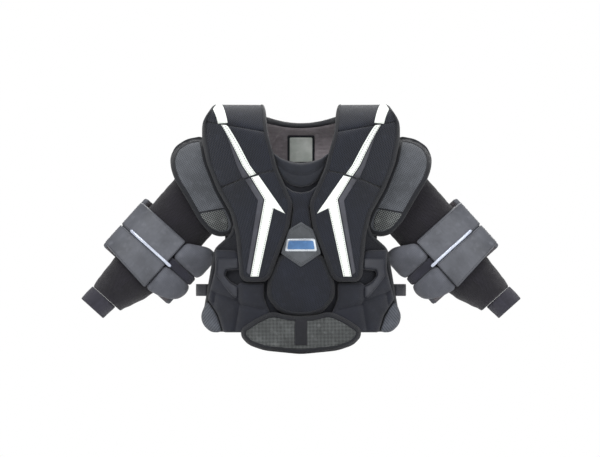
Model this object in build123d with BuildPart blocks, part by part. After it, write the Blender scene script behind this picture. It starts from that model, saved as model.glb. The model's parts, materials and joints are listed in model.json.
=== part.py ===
# Goalkeeper's chest-and-arm protector, junior size, upright as it is worn.
# Origin: middle of the plane on which the shoulders carry it. +Z is up, -Y is the wearer's front,
# +X is the wearer's left. The left side is drawn and mirrored for the right.
import os
from math import atan2, cos, degrees, radians, sin

from build123d import *

os.makedirs("parts", exist_ok=True)

# ---- driving dimensions (mm) ----
GAP = 0.3                 # clearance between pieces laid on each other
CORNER = 6.0              # radius on the corners of the cut foam outlines

# wearer's trunk: an upright drum for the chest, rounded over at the shoulders
CHEST_RADIUS = 250.0
CHEST_AXIS_Y = 140.0
SHOULDER_FRONT_RADIUS = 85.0
SHOULDER_FRONT_Y = -25.0
SHOULDER_BACK_RADIUS = 60.0
SHOULDER_BACK_Y = 0.0
REACH = CHEST_RADIUS + CHEST_AXIS_Y   # half length of the cutting prisms, past the protector's depth

# layers of the vest, counted outwards from the wearer
LINING_T = 2.5
VEST_T = 12.0
YOKE_T = 24.0
COLLAR_T = 5.0
CENTRE_T = 17.0
PATCH_T = 3.0
EMBLEM_T = 2.5
WAIST_T = 12.0
WING_T = 9.0
STRIPE_T = 2.0
PIPING_T = 3.0
BELLY_T = 15.0
BINDING_T = 3.0
WEBBING_T = 2.0
BELLY_STRAP_WIDE = 25.0
SPINE_T = 14.0
LABEL_T = 1.2

# neck
NECK_HALF = 70.0
NECK_BACK_Y = 36.0
NECK_SIDE_Z = -40.0
NECK_LOW_Z = -82.0
COLLAR_TOP = (56, -59)
COLLAR_SIDE = (45, -93)
COLLAR_LOW_Z = -128.0
LABEL_WIDE = 54.0
LABEL_TALL = 58.0
LABEL_MIDDLE_Z = -52.0

# levels of the vest
VEST_HALF = 196.0
VEST_SIDE_Z = -252.0
VEST_HEM_Z = -416.0
SHOULDER_HALF = 140.0
ARMHOLE_HALF = 124.0
ARMHOLE_Z = -170.0
BACK_HALF = 150.0
BACK_HEM_Z = -300.0
SPINE_HALF = 48.0
SPINE_TOP_Z = -96.0
SPINE_LOW_Z = -270.0
CENTRE_SPLIT_Z = -262.0
ABDOMEN_HALF = 66.0
ABDOMEN_TIP_HALF = 44.0
STRAP_Z = -334.0
STRAP_TALL = 24.0
STRAP_BULGE = 15.0        # how far the strap bows out past the vest's edge

# arm: pivot of the sleeve in the armhole, and its lie at rest
ARM_X = 168.0
ARM_Y = 5.0
ARM_Z = -114.0
ARM_ANGLE = 42.0          # from straight down, outwards
SLEEVE_T = 11.0
SLEEVE_HALF_WIDE = 65.0
SLEEVE_HALF_DEEP = 37.0
SLEEVE_START = 32.0
HANGER_WIDE = 22.0
HANGER_ARC = 66.0         # degrees of webbing round the pivot
TAB_X = 187.0
ELBOW_START = 122.0
ELBOW_SEAM = 194.0
ELBOW_END = 250.0
ELBOW_SHIFT = -10.0       # the wrap sits this far towards the body
ELBOW_HALF_WIDE = 93.0
ELBOW_HALF_DEEP = 50.0
ELBOW_T = 10.0
BAR_HALF_WIDE = 54.0
BAR_MIDDLE = 7.0          # height of the bar's middle above the arm's middle
BAR_LENGTH = 6.0
BAR_T = 2.0
CUP_T = 5.0
CUP_HALF = 44.0
FOREARM_END = 324.0
FOREARM_WIDE_START = 51.0
FOREARM_DEEP_START = 38.0
FOREARM_WIDE_END = 38.0
FOREARM_DEEP_END = 32.0
FOREARM_SHIFT = 6.0
FOREARM_T = 8.0
CUFF_END = 358.0
CUFF_WIDE = 31.0
CUFF_DEEP = 27.0
CUFF_SHIFT = 13.0
CUFF_T = 4.0

# shoulder cap: a dome round the top of the sleeve
CAP_TOP = 102.0           # height of the roof above the arm's middle
CAP_HALF_DEEP = 63.0
CAP_T = 11.5
CAP_ROUND_START = 10.0
CAP_BACK_LOW_Z = -160.0
CAP_INNER_LOW_Z = -206.0

# ---- outlines drawn in the front view, left side (x, z) ----
FIT = 1.5                 # sideways clearance between pads that meet edge to edge
CAP_FIT = 0.8             # and between the cap and the yoke that it hangs from
SEAM_TOP = [(196, 6), (68, -16)]
SEAM_LOW = [(166, -132), (100, -104), (48, -94)]
YOKE_CORNER = [(72, 60), (172, 60), (172, 36), (184, 26)]
YOKE_OUTER = [(188, -74), (196, -28)]
YOKE_OUTER_LOW = [(139, -180), (128, -224), (121, -306)]
YOKE_HEM = [(112, -316), (72, -316)]
YOKE_INNER_LOW = [(62, -306), (43, -254), (25, -210), (18, -160)]
YOKE_BACK = [(196, 6), (184, 26), (172, 60), (76, 60), (76, -96), (170, -96)]
STRIPE_TOP = [(181, 60), (173, 60), (173, 34), (148, 1), (167, 1), (181, 32)]
STRIPE_MIDDLE = [(160, -3), (149, -3), (90, -102), (103, -106)]
STRIPE_LOW = [(100, -109), (85, -105), (32, -181), (55, -170), (85, -307), (101, -307), (73, -153)]
PIPING_MIDDLE = [(150, -22), (105, -107), (116, -111)]
PIPING_LOW = [(102, -110), (75, -153), (103, -304), (109, -298), (86, -155), (112, -113)]
PATCH = [(0, -198), (24, -213), (40, -261), (0, -288), (-40, -261), (-24, -213)]
EMBLEM = [(28, -232), (32, -256), (-32, -256), (-28, -232)]
WAIST = [(172, -254), (171, -294), (186, -352), (165, -384), (155, -418), (60, -418), (60, -386),
         (74, -352), (74, -320), (124, -320), (132, -254)]
WING = [(188, -354), (168, -385), (158, -418), (180, -418), (196, -402), (200, -384)]
BELLY_TOP = [(-58, -379), (0, -389), (58, -379)]
BELLY_SIDE = [(117, -412), (118, -426), (104, -442), (72, -453), (0, -460)]
CAP_OUTER = [(228, -34), (250, -48), (260, -70), (258, -92), (250, -114), (228, -150),
             (203, -194), (180, -220), (161, -226), (140, -222)]
CAP_PATCH = [(156, -172), (208, -182), (180, -215), (157, -219), (144, -216), (146, -190)]
TRUNK_DEPTH_BELOW = YOKE_T - BELLY_SIDE[-1][1]   # the trunk's form ends below the lowest pad

# ---- outlines drawn along the arm: distance from the pivot, height above the arm's middle ----
UPPER_PANEL = [(134, 100), (134, -37), (ELBOW_SEAM - GAP, -37), (ELBOW_SEAM - GAP, 100)]
LOWER_PANEL = [(ELBOW_SEAM + GAP, 100), (ELBOW_SEAM + GAP, -37), (256, -37), (248, 47), (238, 100)]
UPPER_LOBE = [(136, -41), (110, -86), (112, -120), (174, -120), (174, -41)]
LOWER_LOBE = [(ELBOW_SEAM + GAP, -41), (ELBOW_SEAM + GAP, -120), (224, -120), (250, -74), (256, -41)]
CENTRE_PAD = [(176, -41), (176, -120), (ELBOW_SEAM - GAP, -120), (ELBOW_SEAM - GAP, -41)]


# ---- helpers ----
def save(piece, name):
    """Label a finished piece and write it."""
    piece.part.label = name
    export_step(piece.part, f"parts/{name}.step")


def save_pair(piece, name):
    """Write the wearer's left piece and its mirror image for the right side."""
    save(piece, f"left_{name}")
    with BuildPart() as other:
        mirror(piece.part, about=Plane.YZ)
    save(other, f"right_{name}")


def lowered(points, by=GAP):
    """The same outline points, moved down."""
    return [(x, z - by) for x, z in points]


def front_face(points, corner=CORNER):
    """Closed outline in the front view with rounded corners."""
    with BuildSketch(Plane.XZ) as drawn:
        with BuildLine():
            Polyline(*points, close=True)
        make_face()
        if corner > 0:
            fillet(drawn.vertices(), corner)
    return drawn.sketch


def trunk(lift):
    """The wearer's trunk grown outwards by lift."""
    front = SHOULDER_FRONT_RADIUS + lift
    back = SHOULDER_BACK_RADIUS + lift
    with BuildPart() as form:
        with BuildSketch(Plane.YZ):
            with BuildLine():
                low_z = -TRUNK_DEPTH_BELOW
                top = Line((SHOULDER_FRONT_Y, lift), (SHOULDER_BACK_Y, lift))
                back_arc = RadiusArc(
                    top @ 1, (SHOULDER_BACK_Y + back, lift - back), back)
                front_arc = RadiusArc(
                    (SHOULDER_FRONT_Y - front, lift - front), top @ 0, front)
                Polyline(back_arc @ 1, ((back_arc @ 1).X, low_z), ((front_arc @ 0).X, low_z),
                         front_arc @ 0)
            make_face()
        extrude(amount=REACH, both=True)
        with BuildSketch(Plane.XY.offset(-TRUNK_DEPTH_BELOW)):
            with Locations((0, CHEST_AXIS_Y)):
                Circle(CHEST_RADIUS + lift)
        extrude(amount=TRUNK_DEPTH_BELOW + lift + YOKE_T, mode=Mode.INTERSECT)
    return form.part


def layer(inside, thickness):
    """A shell of the given thickness lying on the trunk grown by inside."""
    with BuildPart() as shell:
        add(trunk(inside + thickness))
        add(trunk(inside), mode=Mode.SUBTRACT)
    return shell.part


def half_space(front):
    """Everything in front of the shoulder ridge, or everything behind it."""
    depth = -REACH if front else REACH
    with BuildPart() as block:
        with BuildSketch(Plane.XY.offset(-2 * REACH)):
            with Locations((0, depth / 2)):
                Rectangle(4 * REACH, REACH - GAP)
        extrude(amount=4 * REACH)
    return block.part


FRONT = half_space(True)
BACK = half_space(False)
ON_VEST = VEST_T + GAP
ON_YOKE = ON_VEST + YOKE_T + GAP
ON_CENTRE = ON_VEST + CENTRE_T + GAP
ON_PATCH = ON_CENTRE + PATCH_T + GAP
ON_WAIST = ON_VEST + WAIST_T + GAP
ON_BELLY = ON_WAIST + BELLY_T + GAP
vest_layer = layer(0, VEST_T)
yoke_layer = layer(ON_VEST, YOKE_T)

# ---- vest ----
# base of the front, with the neckline and the armholes
with BuildPart() as front_vest:
    with BuildSketch(Plane.XZ) as drawn:
        with BuildLine():
            neck = ThreePointArc((NECK_HALF, NECK_SIDE_Z), (0, NECK_LOW_Z), (-NECK_HALF, NECK_SIDE_Z))
            shoulder = Line((NECK_HALF, NECK_SIDE_Z), (NECK_HALF, 2 * YOKE_T))
            over = Line(shoulder @ 1, (SHOULDER_HALF, 2 * YOKE_T))
            armhole = ThreePointArc(over @ 1, (ARMHOLE_HALF, ARMHOLE_Z), (VEST_HALF - YOKE_T, VEST_SIDE_Z))
            side = Polyline(armhole @ 1, (VEST_HALF, VEST_HEM_Z + YOKE_T), (VEST_HALF - YOKE_T, VEST_HEM_Z),
                            (0, VEST_HEM_Z))
            mirror(armhole, about=Plane.YZ)
            mirror(side, about=Plane.YZ)
            mirror(over, about=Plane.YZ)
            mirror(shoulder, about=Plane.YZ)
        make_face()
    extrude(drawn.sketch, amount=REACH, both=True)
    add(vest_layer, mode=Mode.INTERSECT)
    add(FRONT, mode=Mode.INTERSECT)
save(front_vest, "front_vest")

# foam back with its half of the shoulders, open at the neck
with BuildPart() as back_panel:
    extrude(front_face([(BACK_HALF, BACK_HEM_Z), (BACK_HALF, 2 * YOKE_T), (-BACK_HALF, 2 * YOKE_T),
                        (-BACK_HALF, BACK_HEM_Z)], 2 * YOKE_T), amount=REACH, both=True)
    add(vest_layer, mode=Mode.INTERSECT)
    add(BACK, mode=Mode.INTERSECT)
    with BuildSketch(Plane.XY.offset(-SHOULDER_BACK_RADIUS)) as hole:
        Ellipse(NECK_HALF, NECK_BACK_Y)
    extrude(hole.sketch, amount=REACH, mode=Mode.SUBTRACT)
save(back_panel, "back_panel")

# satin lining on the wearer's side of the back
with BuildPart() as back_lining:
    extrude(front_face([(BACK_HALF - YOKE_T, BACK_HEM_Z + YOKE_T), (BACK_HALF - YOKE_T, 0),
                        (-BACK_HALF + YOKE_T, 0), (-BACK_HALF + YOKE_T, BACK_HEM_Z + YOKE_T)]),
            amount=REACH, both=True)
    add(layer(-LINING_T - GAP, LINING_T), mode=Mode.INTERSECT)
    add(BACK, mode=Mode.INTERSECT)
    with BuildSketch(Plane.XY.offset(-SHOULDER_BACK_RADIUS)) as hole:
        Ellipse(NECK_HALF, NECK_BACK_Y)
    extrude(hole.sketch, amount=REACH, mode=Mode.SUBTRACT)
save(back_lining, "back_lining")

# bare label sewn to the lining
with BuildPart() as neck_label:
    with BuildSketch(Plane.XZ) as face:
        with Locations((0, LABEL_MIDDLE_Z)):
            Rectangle(LABEL_WIDE, LABEL_TALL)
    extrude(face.sketch, amount=-REACH)
    add(layer(-LINING_T - LABEL_T - 2 * GAP, LABEL_T), mode=Mode.INTERSECT)
save(neck_label, "neck_label")

# foam strip down the outside of the back
with BuildPart() as spine_pad:
    with BuildSketch(Plane.XZ.offset(-SHOULDER_BACK_RADIUS - ON_VEST)):
        with Locations((0, (SPINE_TOP_Z + SPINE_LOW_Z) / 2)):
            RectangleRounded(2 * SPINE_HALF, SPINE_TOP_Z - SPINE_LOW_Z, 2 * CORNER)
    extrude(amount=-SPINE_T)
    fillet(spine_pad.faces().sort_by(Axis.Y)[-1].edges(), SPINE_T / 2)
save(spine_pad, "spine_pad")

# ribbed facing along the front of the neck
with BuildPart() as neck_collar:
    with BuildSketch(Plane.XZ) as drawn:
        with BuildLine():
            side = Line(COLLAR_TOP, COLLAR_SIDE)
            other = mirror(side, about=Plane.YZ)
            ThreePointArc(side @ 0, (0, NECK_LOW_Z), other @ 0)
            ThreePointArc(side @ 1, (0, COLLAR_LOW_Z), other @ 1)
        make_face()
    extrude(drawn.sketch, amount=REACH, both=True)
    add(layer(ON_VEST, COLLAR_T), mode=Mode.INTERSECT)
    add(FRONT, mode=Mode.INTERSECT)
save(neck_collar, "neck_collar")

centre_layer = layer(ON_VEST, CENTRE_T)
yoke_gap = [(x - FIT, z) for x, z in YOKE_INNER_LOW]

# twill panel between the yokes, from the collar down behind the patch
with BuildPart() as sternum_panel:
    with BuildSketch(Plane.XZ) as drawn:
        with BuildLine():
            side = Polyline(*lowered([COLLAR_SIDE], FIT), *reversed(yoke_gap[1:]),
                            (yoke_gap[1][0], CENTRE_SPLIT_Z), (0, CENTRE_SPLIT_Z))
            other = mirror(side, about=Plane.YZ)
            ThreePointArc(side @ 0, (0, COLLAR_LOW_Z - FIT), other @ 0)
        make_face()
    extrude(drawn.sketch, amount=REACH, both=True)
    add(centre_layer, mode=Mode.INTERSECT)
    add(FRONT, mode=Mode.INTERSECT)
save(sternum_panel, "sternum_panel")

# raised pad below it, down to the hem
with BuildPart() as abdomen_pad:
    with BuildSketch(Plane.XZ) as drawn:
        with BuildLine():
            tip = (ABDOMEN_TIP_HALF, BELLY_TOP[0][1] + 2 * FIT)
            side = Polyline((0, CENTRE_SPLIT_Z - GAP), (yoke_gap[1][0], CENTRE_SPLIT_Z - GAP),
                            yoke_gap[0], (ABDOMEN_HALF, YOKE_HEM[0][1] - CORNER),
                            (ABDOMEN_HALF, BELLY_TOP[0][1] + 5 * CORNER), tip)
            mirror(side, about=Plane.YZ)
            ThreePointArc(tip, (0, BELLY_TOP[1][1] + 2 * FIT), (-tip[0], tip[1]))
        make_face()
    extrude(drawn.sketch, amount=REACH, both=True)
    add(centre_layer, mode=Mode.INTERSECT)
    add(FRONT, mode=Mode.INTERSECT)
save(abdomen_pad, "abdomen_pad")

# leather hexagon over their seam, and the bare badge on it
with BuildPart() as sternum_patch:
    extrude(front_face(PATCH, PATCH_T), amount=REACH, both=True)
    add(layer(ON_CENTRE, PATCH_T), mode=Mode.INTERSECT)
    add(FRONT, mode=Mode.INTERSECT)
save(sternum_patch, "sternum_patch")

with BuildPart() as emblem_plate:
    extrude(front_face(EMBLEM, EMBLEM_T), amount=REACH, both=True)
    add(layer(ON_PATCH, EMBLEM_T), mode=Mode.INTERSECT)
    add(FRONT, mode=Mode.INTERSECT)
save(emblem_plate, "emblem_plate")

# ---- yokes: three foam blocks a side, the top one folding over the shoulder ----
with BuildPart() as shoulder_block:
    extrude(front_face(SEAM_TOP + YOKE_CORNER, 0), amount=REACH, both=True)
    extrude(front_face(YOKE_BACK, 0), amount=-REACH)
    add(yoke_layer, mode=Mode.INTERSECT)
save_pair(shoulder_block, "shoulder_block")

with BuildPart() as upper_chest_block:
    extrude(front_face(lowered(SEAM_TOP) + SEAM_LOW[::-1] + YOKE_OUTER, FIT), amount=REACH, both=True)
    add(yoke_layer, mode=Mode.INTERSECT)
    add(FRONT, mode=Mode.INTERSECT)
save_pair(upper_chest_block, "upper_chest_block")

with BuildPart() as lower_chest_block:
    extrude(front_face(lowered(SEAM_LOW)[::-1] + YOKE_OUTER_LOW + YOKE_HEM + YOKE_INNER_LOW, FIT),
            amount=REACH, both=True)
    add(yoke_layer, mode=Mode.INTERSECT)
    add(FRONT, mode=Mode.INTERSECT)
save_pair(lower_chest_block, "lower_chest_block")

# white stripe, one strip on each block, ending in a barbed arrow
with BuildPart() as chest_stripe:
    for strip in STRIPE_TOP, STRIPE_MIDDLE, STRIPE_LOW:
        extrude(front_face(strip, 0), amount=REACH, both=True)
    add(layer(ON_YOKE, STRIPE_T), mode=Mode.INTERSECT)
    add(FRONT, mode=Mode.INTERSECT)
save_pair(chest_stripe, "chest_stripe")

with BuildPart() as stripe_piping:
    for strip in PIPING_MIDDLE, PIPING_LOW:
        extrude(front_face(strip, 0), amount=REACH, both=True)
    add(layer(ON_YOKE, PIPING_T), mode=Mode.INTERSECT)
    add(FRONT, mode=Mode.INTERSECT)
    mirror(about=Plane.YZ)
save(stripe_piping, "stripe_piping")

# ---- waist ----
with BuildPart() as waist_pad:
    extrude(front_face(WAIST, FIT), amount=REACH, both=True)
    add(layer(ON_VEST, WAIST_T), mode=Mode.INTERSECT)
    add(FRONT, mode=Mode.INTERSECT)
save_pair(waist_pad, "waist_pad")

with BuildPart() as waist_wing:
    extrude(front_face(WING, FIT), amount=REACH, both=True)
    add(layer(ON_VEST, WING_T), mode=Mode.INTERSECT)
    add(FRONT, mode=Mode.INTERSECT)
save_pair(waist_wing, "waist_wing")

# elastic strap round the wearer's side, from the vest's slanting side edge to the back panel
strap_low = STRAP_Z - STRAP_TALL / 2
slant = YOKE_T / (VEST_SIDE_Z - VEST_HEM_Z - YOKE_T)
strap_x = VEST_HALF - YOKE_T + slant * (VEST_SIDE_Z - strap_low) + GAP + FIT
strap_y = CHEST_AXIS_Y - ((CHEST_RADIUS + VEST_T / 2) ** 2 - strap_x ** 2) ** 0.5
strap_end = (BACK_HALF + FIT, SHOULDER_BACK_RADIUS + VEST_T / 2)
with BuildPart() as side_strap:
    with BuildSketch(Plane.XY.offset(strap_low)):
        with BuildLine() as path:
            ThreePointArc((strap_x, strap_y), (strap_x + STRAP_BULGE, (strap_y + strap_end[1]) / 2), strap_end)
            offset(amount=WEBBING_T / 2, side=Side.BOTH)
        make_face()
    extrude(amount=STRAP_TALL)
save_pair(side_strap, "side_strap")

# ---- belly pad, hanging from the hem of the abdomen pad ----
belly_layer = layer(ON_WAIST, BELLY_T)


def belly_face(inset):
    """Outline of the hanging pad, drawn in by inset."""
    with BuildSketch(Plane.XZ) as drawn:
        with BuildLine():
            top = ThreePointArc(*BELLY_TOP)
            side = Polyline(top @ 1, *BELLY_SIDE)
            mirror(side, about=Plane.YZ)
        make_face()
        offset(amount=-inset, kind=Kind.INTERSECTION)
    return drawn.sketch


with BuildPart() as belly_pad:
    extrude(belly_face(BINDING_T + GAP), amount=REACH, both=True)
    add(belly_layer, mode=Mode.INTERSECT)
    add(FRONT, mode=Mode.INTERSECT)
save(belly_pad, "belly_pad")

with BuildPart() as belly_binding:
    extrude(belly_face(0), amount=REACH, both=True)
    extrude(belly_face(BINDING_T), amount=REACH, both=True, mode=Mode.SUBTRACT)
    add(belly_layer, mode=Mode.INTERSECT)
    add(FRONT, mode=Mode.INTERSECT)
save(belly_binding, "belly_binding")

with BuildPart() as belly_strap:
    with BuildSketch(Plane.XZ) as drawn:
        with Locations((0, (BELLY_TOP[1][1] + BELLY_SIDE[3][1]) / 2)):
            Rectangle(BELLY_STRAP_WIDE, BELLY_TOP[1][1] - BELLY_SIDE[3][1])
    extrude(drawn.sketch, amount=REACH, both=True)
    add(layer(ON_BELLY, WEBBING_T), mode=Mode.INTERSECT)
    add(FRONT, mode=Mode.INTERSECT)
save(belly_strap, "belly_strap")

# ---- arm ----
lean = radians(ARM_ANGLE)
PIVOT = Vector(ARM_X, ARM_Y, ARM_Z)
ALONG = Vector(sin(lean), 0, -cos(lean))
ACROSS = Vector(cos(lean), 0, sin(lean))


def across_arm(distance):
    """Plane square to the arm; its x runs away from the body, its y to the front."""
    return Plane(origin=PIVOT + ALONG * distance, x_dir=ACROSS, z_dir=ALONG)


def tube(start, end, wide, deep, shift=0.0, wide_end=None, deep_end=None, shift_end=None):
    """Oval rod along the arm, tapering where end sizes are given."""
    with BuildPart() as rod:
        with BuildSketch(across_arm(start)):
            with Locations((shift, 0)):
                Ellipse(wide, deep)
        if wide_end is None:
            extrude(amount=end - start)
        else:
            with BuildSketch(across_arm(end)):
                with Locations((shift_end, 0)):
                    Ellipse(wide_end, deep_end)
            loft()
    return rod.part


def arm_face(points, corner=CORNER):
    """Closed outline on the arm's middle plane: distance along it, height above it."""
    with BuildSketch(Plane(origin=PIVOT, x_dir=ALONG, z_dir=(0, -1, 0))) as drawn:
        with BuildLine():
            Polyline(*points, close=True)
        make_face()
        if corner > 0:
            fillet(drawn.vertices(), corner)
    return drawn.sketch


def arm_half(front):
    """Everything in front of the arm's middle, or everything behind it."""
    side = 1 if front else -1
    with BuildPart() as block:
        with BuildSketch(across_arm(-REACH)):
            with Locations((0, side * REACH / 2)):
                Rectangle(2 * REACH, REACH - GAP)
        extrude(amount=3 * REACH)
    return block.part


ARM_FRONT = arm_half(True)
ARM_BACK = arm_half(False)

# padded sleeve, wider where the elbow wrap goes round it
liner_wide = ELBOW_HALF_WIDE - ELBOW_T - GAP
liner_deep = ELBOW_HALF_DEEP - ELBOW_T - GAP
with BuildPart() as upper_sleeve:
    add(tube(SLEEVE_START, ELBOW_START + SLEEVE_T, SLEEVE_HALF_WIDE, SLEEVE_HALF_DEEP))
    add(tube(ELBOW_START, ELBOW_SEAM - GAP, liner_wide, liner_deep, ELBOW_SHIFT))
    add(tube(SLEEVE_START, ELBOW_START + SLEEVE_T, SLEEVE_HALF_WIDE - SLEEVE_T,
             SLEEVE_HALF_DEEP - SLEEVE_T), mode=Mode.SUBTRACT)
    add(tube(ELBOW_START + SLEEVE_T, ELBOW_SEAM - GAP, liner_wide - SLEEVE_T,
             liner_deep - SLEEVE_T, ELBOW_SHIFT), mode=Mode.SUBTRACT)
save_pair(upper_sleeve, "upper_sleeve")

with BuildPart() as forearm_sleeve:
    add(tube(ELBOW_SEAM + GAP, ELBOW_END - GAP, liner_wide, liner_deep, ELBOW_SHIFT))
    add(tube(ELBOW_END - SLEEVE_T, FOREARM_END, FOREARM_WIDE_START, FOREARM_DEEP_START, ELBOW_SHIFT / 2,
             FOREARM_WIDE_END, FOREARM_DEEP_END, FOREARM_SHIFT))
    add(tube(ELBOW_SEAM + GAP, ELBOW_END - SLEEVE_T, liner_wide - SLEEVE_T, liner_deep - SLEEVE_T,
             ELBOW_SHIFT), mode=Mode.SUBTRACT)
    add(tube(ELBOW_END - SLEEVE_T, FOREARM_END, FOREARM_WIDE_START - FOREARM_T,
             FOREARM_DEEP_START - FOREARM_T, ELBOW_SHIFT / 2, FOREARM_WIDE_END - FOREARM_T,
             FOREARM_DEEP_END - FOREARM_T, FOREARM_SHIFT), mode=Mode.SUBTRACT)
save_pair(forearm_sleeve, "forearm_sleeve")

with BuildPart() as wrist_cuff:
    add(tube(FOREARM_END + GAP, CUFF_END, CUFF_WIDE, CUFF_DEEP, CUFF_SHIFT))
    add(tube(FOREARM_END + GAP, CUFF_END, CUFF_WIDE - CUFF_T, CUFF_DEEP - CUFF_T, CUFF_SHIFT),
        mode=Mode.SUBTRACT)
save_pair(wrist_cuff, "wrist_cuff")


def wrap(lift, thickness, start=ELBOW_START, end=ELBOW_END):
    """Oval shell round the elbow, its outside raised by lift."""
    with BuildPart() as shell:
        add(tube(start, end, ELBOW_HALF_WIDE + lift, ELBOW_HALF_DEEP + lift, ELBOW_SHIFT))
        add(tube(start, end, ELBOW_HALF_WIDE + lift - thickness, ELBOW_HALF_DEEP + lift - thickness,
                 ELBOW_SHIFT), mode=Mode.SUBTRACT)
    return shell.part


wrap_layer = wrap(0, ELBOW_T, ELBOW_START - 3 * CORNER, ELBOW_END + 2 * CORNER)
for name, outline in (("elbow_upper_panel", UPPER_PANEL), ("elbow_lower_panel", LOWER_PANEL),
                      ("elbow_upper_lobe", UPPER_LOBE), ("elbow_lower_lobe", LOWER_LOBE),
                      ("elbow_centre_pad", CENTRE_PAD)):
    with BuildPart() as panel:
        extrude(arm_face(outline, FIT), amount=REACH)
        add(wrap_layer, mode=Mode.INTERSECT)
        add(ARM_FRONT, mode=Mode.INTERSECT)
    save_pair(panel, name)

for name, start, end in (("elbow_upper_band", ELBOW_START, ELBOW_SEAM - GAP),
                         ("elbow_lower_band", ELBOW_SEAM + GAP, ELBOW_END)):
    with BuildPart() as band:
        add(wrap(0, ELBOW_T, start, end))
        add(ARM_BACK, mode=Mode.INTERSECT)
    save_pair(band, name)

# reflective bar on the upper panel, along the seam
with BuildPart() as elbow_bar:
    extrude(arm_face([(ELBOW_SEAM - GAP - BAR_LENGTH, BAR_MIDDLE - BAR_HALF_WIDE),
                      (ELBOW_SEAM - GAP, BAR_MIDDLE - BAR_HALF_WIDE),
                      (ELBOW_SEAM - GAP, BAR_MIDDLE + BAR_HALF_WIDE),
                      (ELBOW_SEAM - GAP - BAR_LENGTH, BAR_MIDDLE + BAR_HALF_WIDE)], 0), amount=REACH)
    add(wrap(BAR_T + GAP, BAR_T), mode=Mode.INTERSECT)
save_pair(elbow_bar, "elbow_bar")

# stiff cup behind the elbow, on the upper band
with BuildPart() as elbow_cup:
    extrude(arm_face([(ELBOW_SEAM - CUP_HALF, ELBOW_SHIFT - CUP_HALF),
                      (ELBOW_SEAM + CUP_HALF, ELBOW_SHIFT - CUP_HALF),
                      (ELBOW_SEAM + CUP_HALF, ELBOW_SHIFT + CUP_HALF),
                      (ELBOW_SEAM - CUP_HALF, ELBOW_SHIFT + CUP_HALF)], CUP_HALF / 3), amount=-REACH)
    add(wrap(CUP_T + GAP, CUP_T), mode=Mode.INTERSECT)
save_pair(elbow_cup, "elbow_cup")


# ---- shoulder cap ----
def dome(lift):
    """Rounded form round the top of the sleeve, flat in front and behind, grown by lift."""
    deep = CAP_HALF_DEEP + lift
    reach = 4 * CAP_HALF_DEEP
    with BuildPart() as form:
        with BuildSketch(across_arm(-reach)):
            with Locations((CAP_TOP - CAP_HALF_DEEP, 0)):
                Circle(deep)
                Rectangle(reach, 2 * deep, align=(Align.MAX, Align.CENTER))
        extrude(amount=2 * reach)
        with BuildSketch(Plane(origin=PIVOT - ACROSS * reach, x_dir=ALONG, z_dir=ACROSS)):
            with Locations((CAP_ROUND_START, 0)):
                Circle(deep)
                Rectangle(reach, 2 * deep, align=(Align.MIN, Align.CENTER))
        extrude(amount=2 * reach, mode=Mode.INTERSECT)
    return form.part


def dome_layer(lift, thickness):
    """Shell of the dome, its outside raised by lift."""
    with BuildPart() as shell:
        add(dome(lift))
        add(dome(lift - thickness), mode=Mode.SUBTRACT)
    return shell.part


cap_inner = [(x + CAP_FIT, z) for x, z in (YOKE_OUTER[1], YOKE_OUTER[0], SEAM_LOW[0], YOKE_OUTER_LOW[0],
                                           (YOKE_OUTER_LOW[1][0] + FIT, CAP_INNER_LOW_Z))]
with BuildPart() as shoulder_cap:
    extrude(front_face(cap_inner[::-1] + CAP_OUTER, FIT), amount=REACH, both=True)
    extrude(front_face([(0, 0), (BACK_HALF + FIT, 0), (BACK_HALF + FIT, CAP_BACK_LOW_Z),
                        (REACH, CAP_BACK_LOW_Z), (REACH, BACK_HEM_Z), (0, BACK_HEM_Z)], 0),
            amount=-REACH, mode=Mode.SUBTRACT)
    add(dome_layer(0, CAP_T), mode=Mode.INTERSECT)
save_pair(shoulder_cap, "shoulder_cap")

with BuildPart() as cap_patch:
    extrude(front_face(CAP_PATCH, FIT), amount=REACH)
    add(dome_layer(GAP + PIPING_T / 2, PIPING_T / 2), mode=Mode.INTERSECT)
save_pair(cap_patch, "cap_patch")

# webbing on the rim of the sleeve, round the pivot, and the tab of the shoulder block that carries it
rim = Vector(SLEEVE_START, SLEEVE_HALF_WIDE).length + GAP
rim_angle = degrees(atan2(SLEEVE_HALF_WIDE, SLEEVE_START)) + ARM_ANGLE - 90
hanger_start = Plane.XZ.offset(-ARM_Y - WEBBING_T)
with BuildPart() as arm_hanger:
    with BuildSketch(hanger_start) as drawn:
        with BuildLine() as path:
            CenterArc((ARM_X, ARM_Z), rim + WEBBING_T / 2, rim_angle + 3 * GAP, HANGER_ARC)
            offset(amount=WEBBING_T / 2, side=Side.BOTH)
        make_face()
    extrude(drawn.sketch, amount=HANGER_WIDE)
save_pair(arm_hanger, "arm_hanger")

with BuildPart() as shoulder_tab:
    with BuildSketch(hanger_start) as drawn:
        with Locations((TAB_X, 0)):
            Rectangle(WEBBING_T, 2 * (ON_VEST - 2 * GAP))
            Rectangle(WEBBING_T, -ARM_Z, align=(Align.CENTER, Align.MAX))
        with Locations((ARM_X, ARM_Z)):
            Circle(rim + WEBBING_T + GAP, mode=Mode.SUBTRACT)
    extrude(drawn.sketch, amount=HANGER_WIDE)
save_pair(shoulder_tab, "shoulder_tab")
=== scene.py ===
# Goalkeeper's chest-and-arm protector, upright as it is worn: -Y is the wearer's front, +X the wearer's left.
# Metres. The left side of each pair is made first, and the right is its mirror image.
import json
from math import cos, pi, sin

import bpy
import numpy as np
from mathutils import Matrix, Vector, noise
from mathutils.geometry import delaunay_2d_cdt


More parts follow.
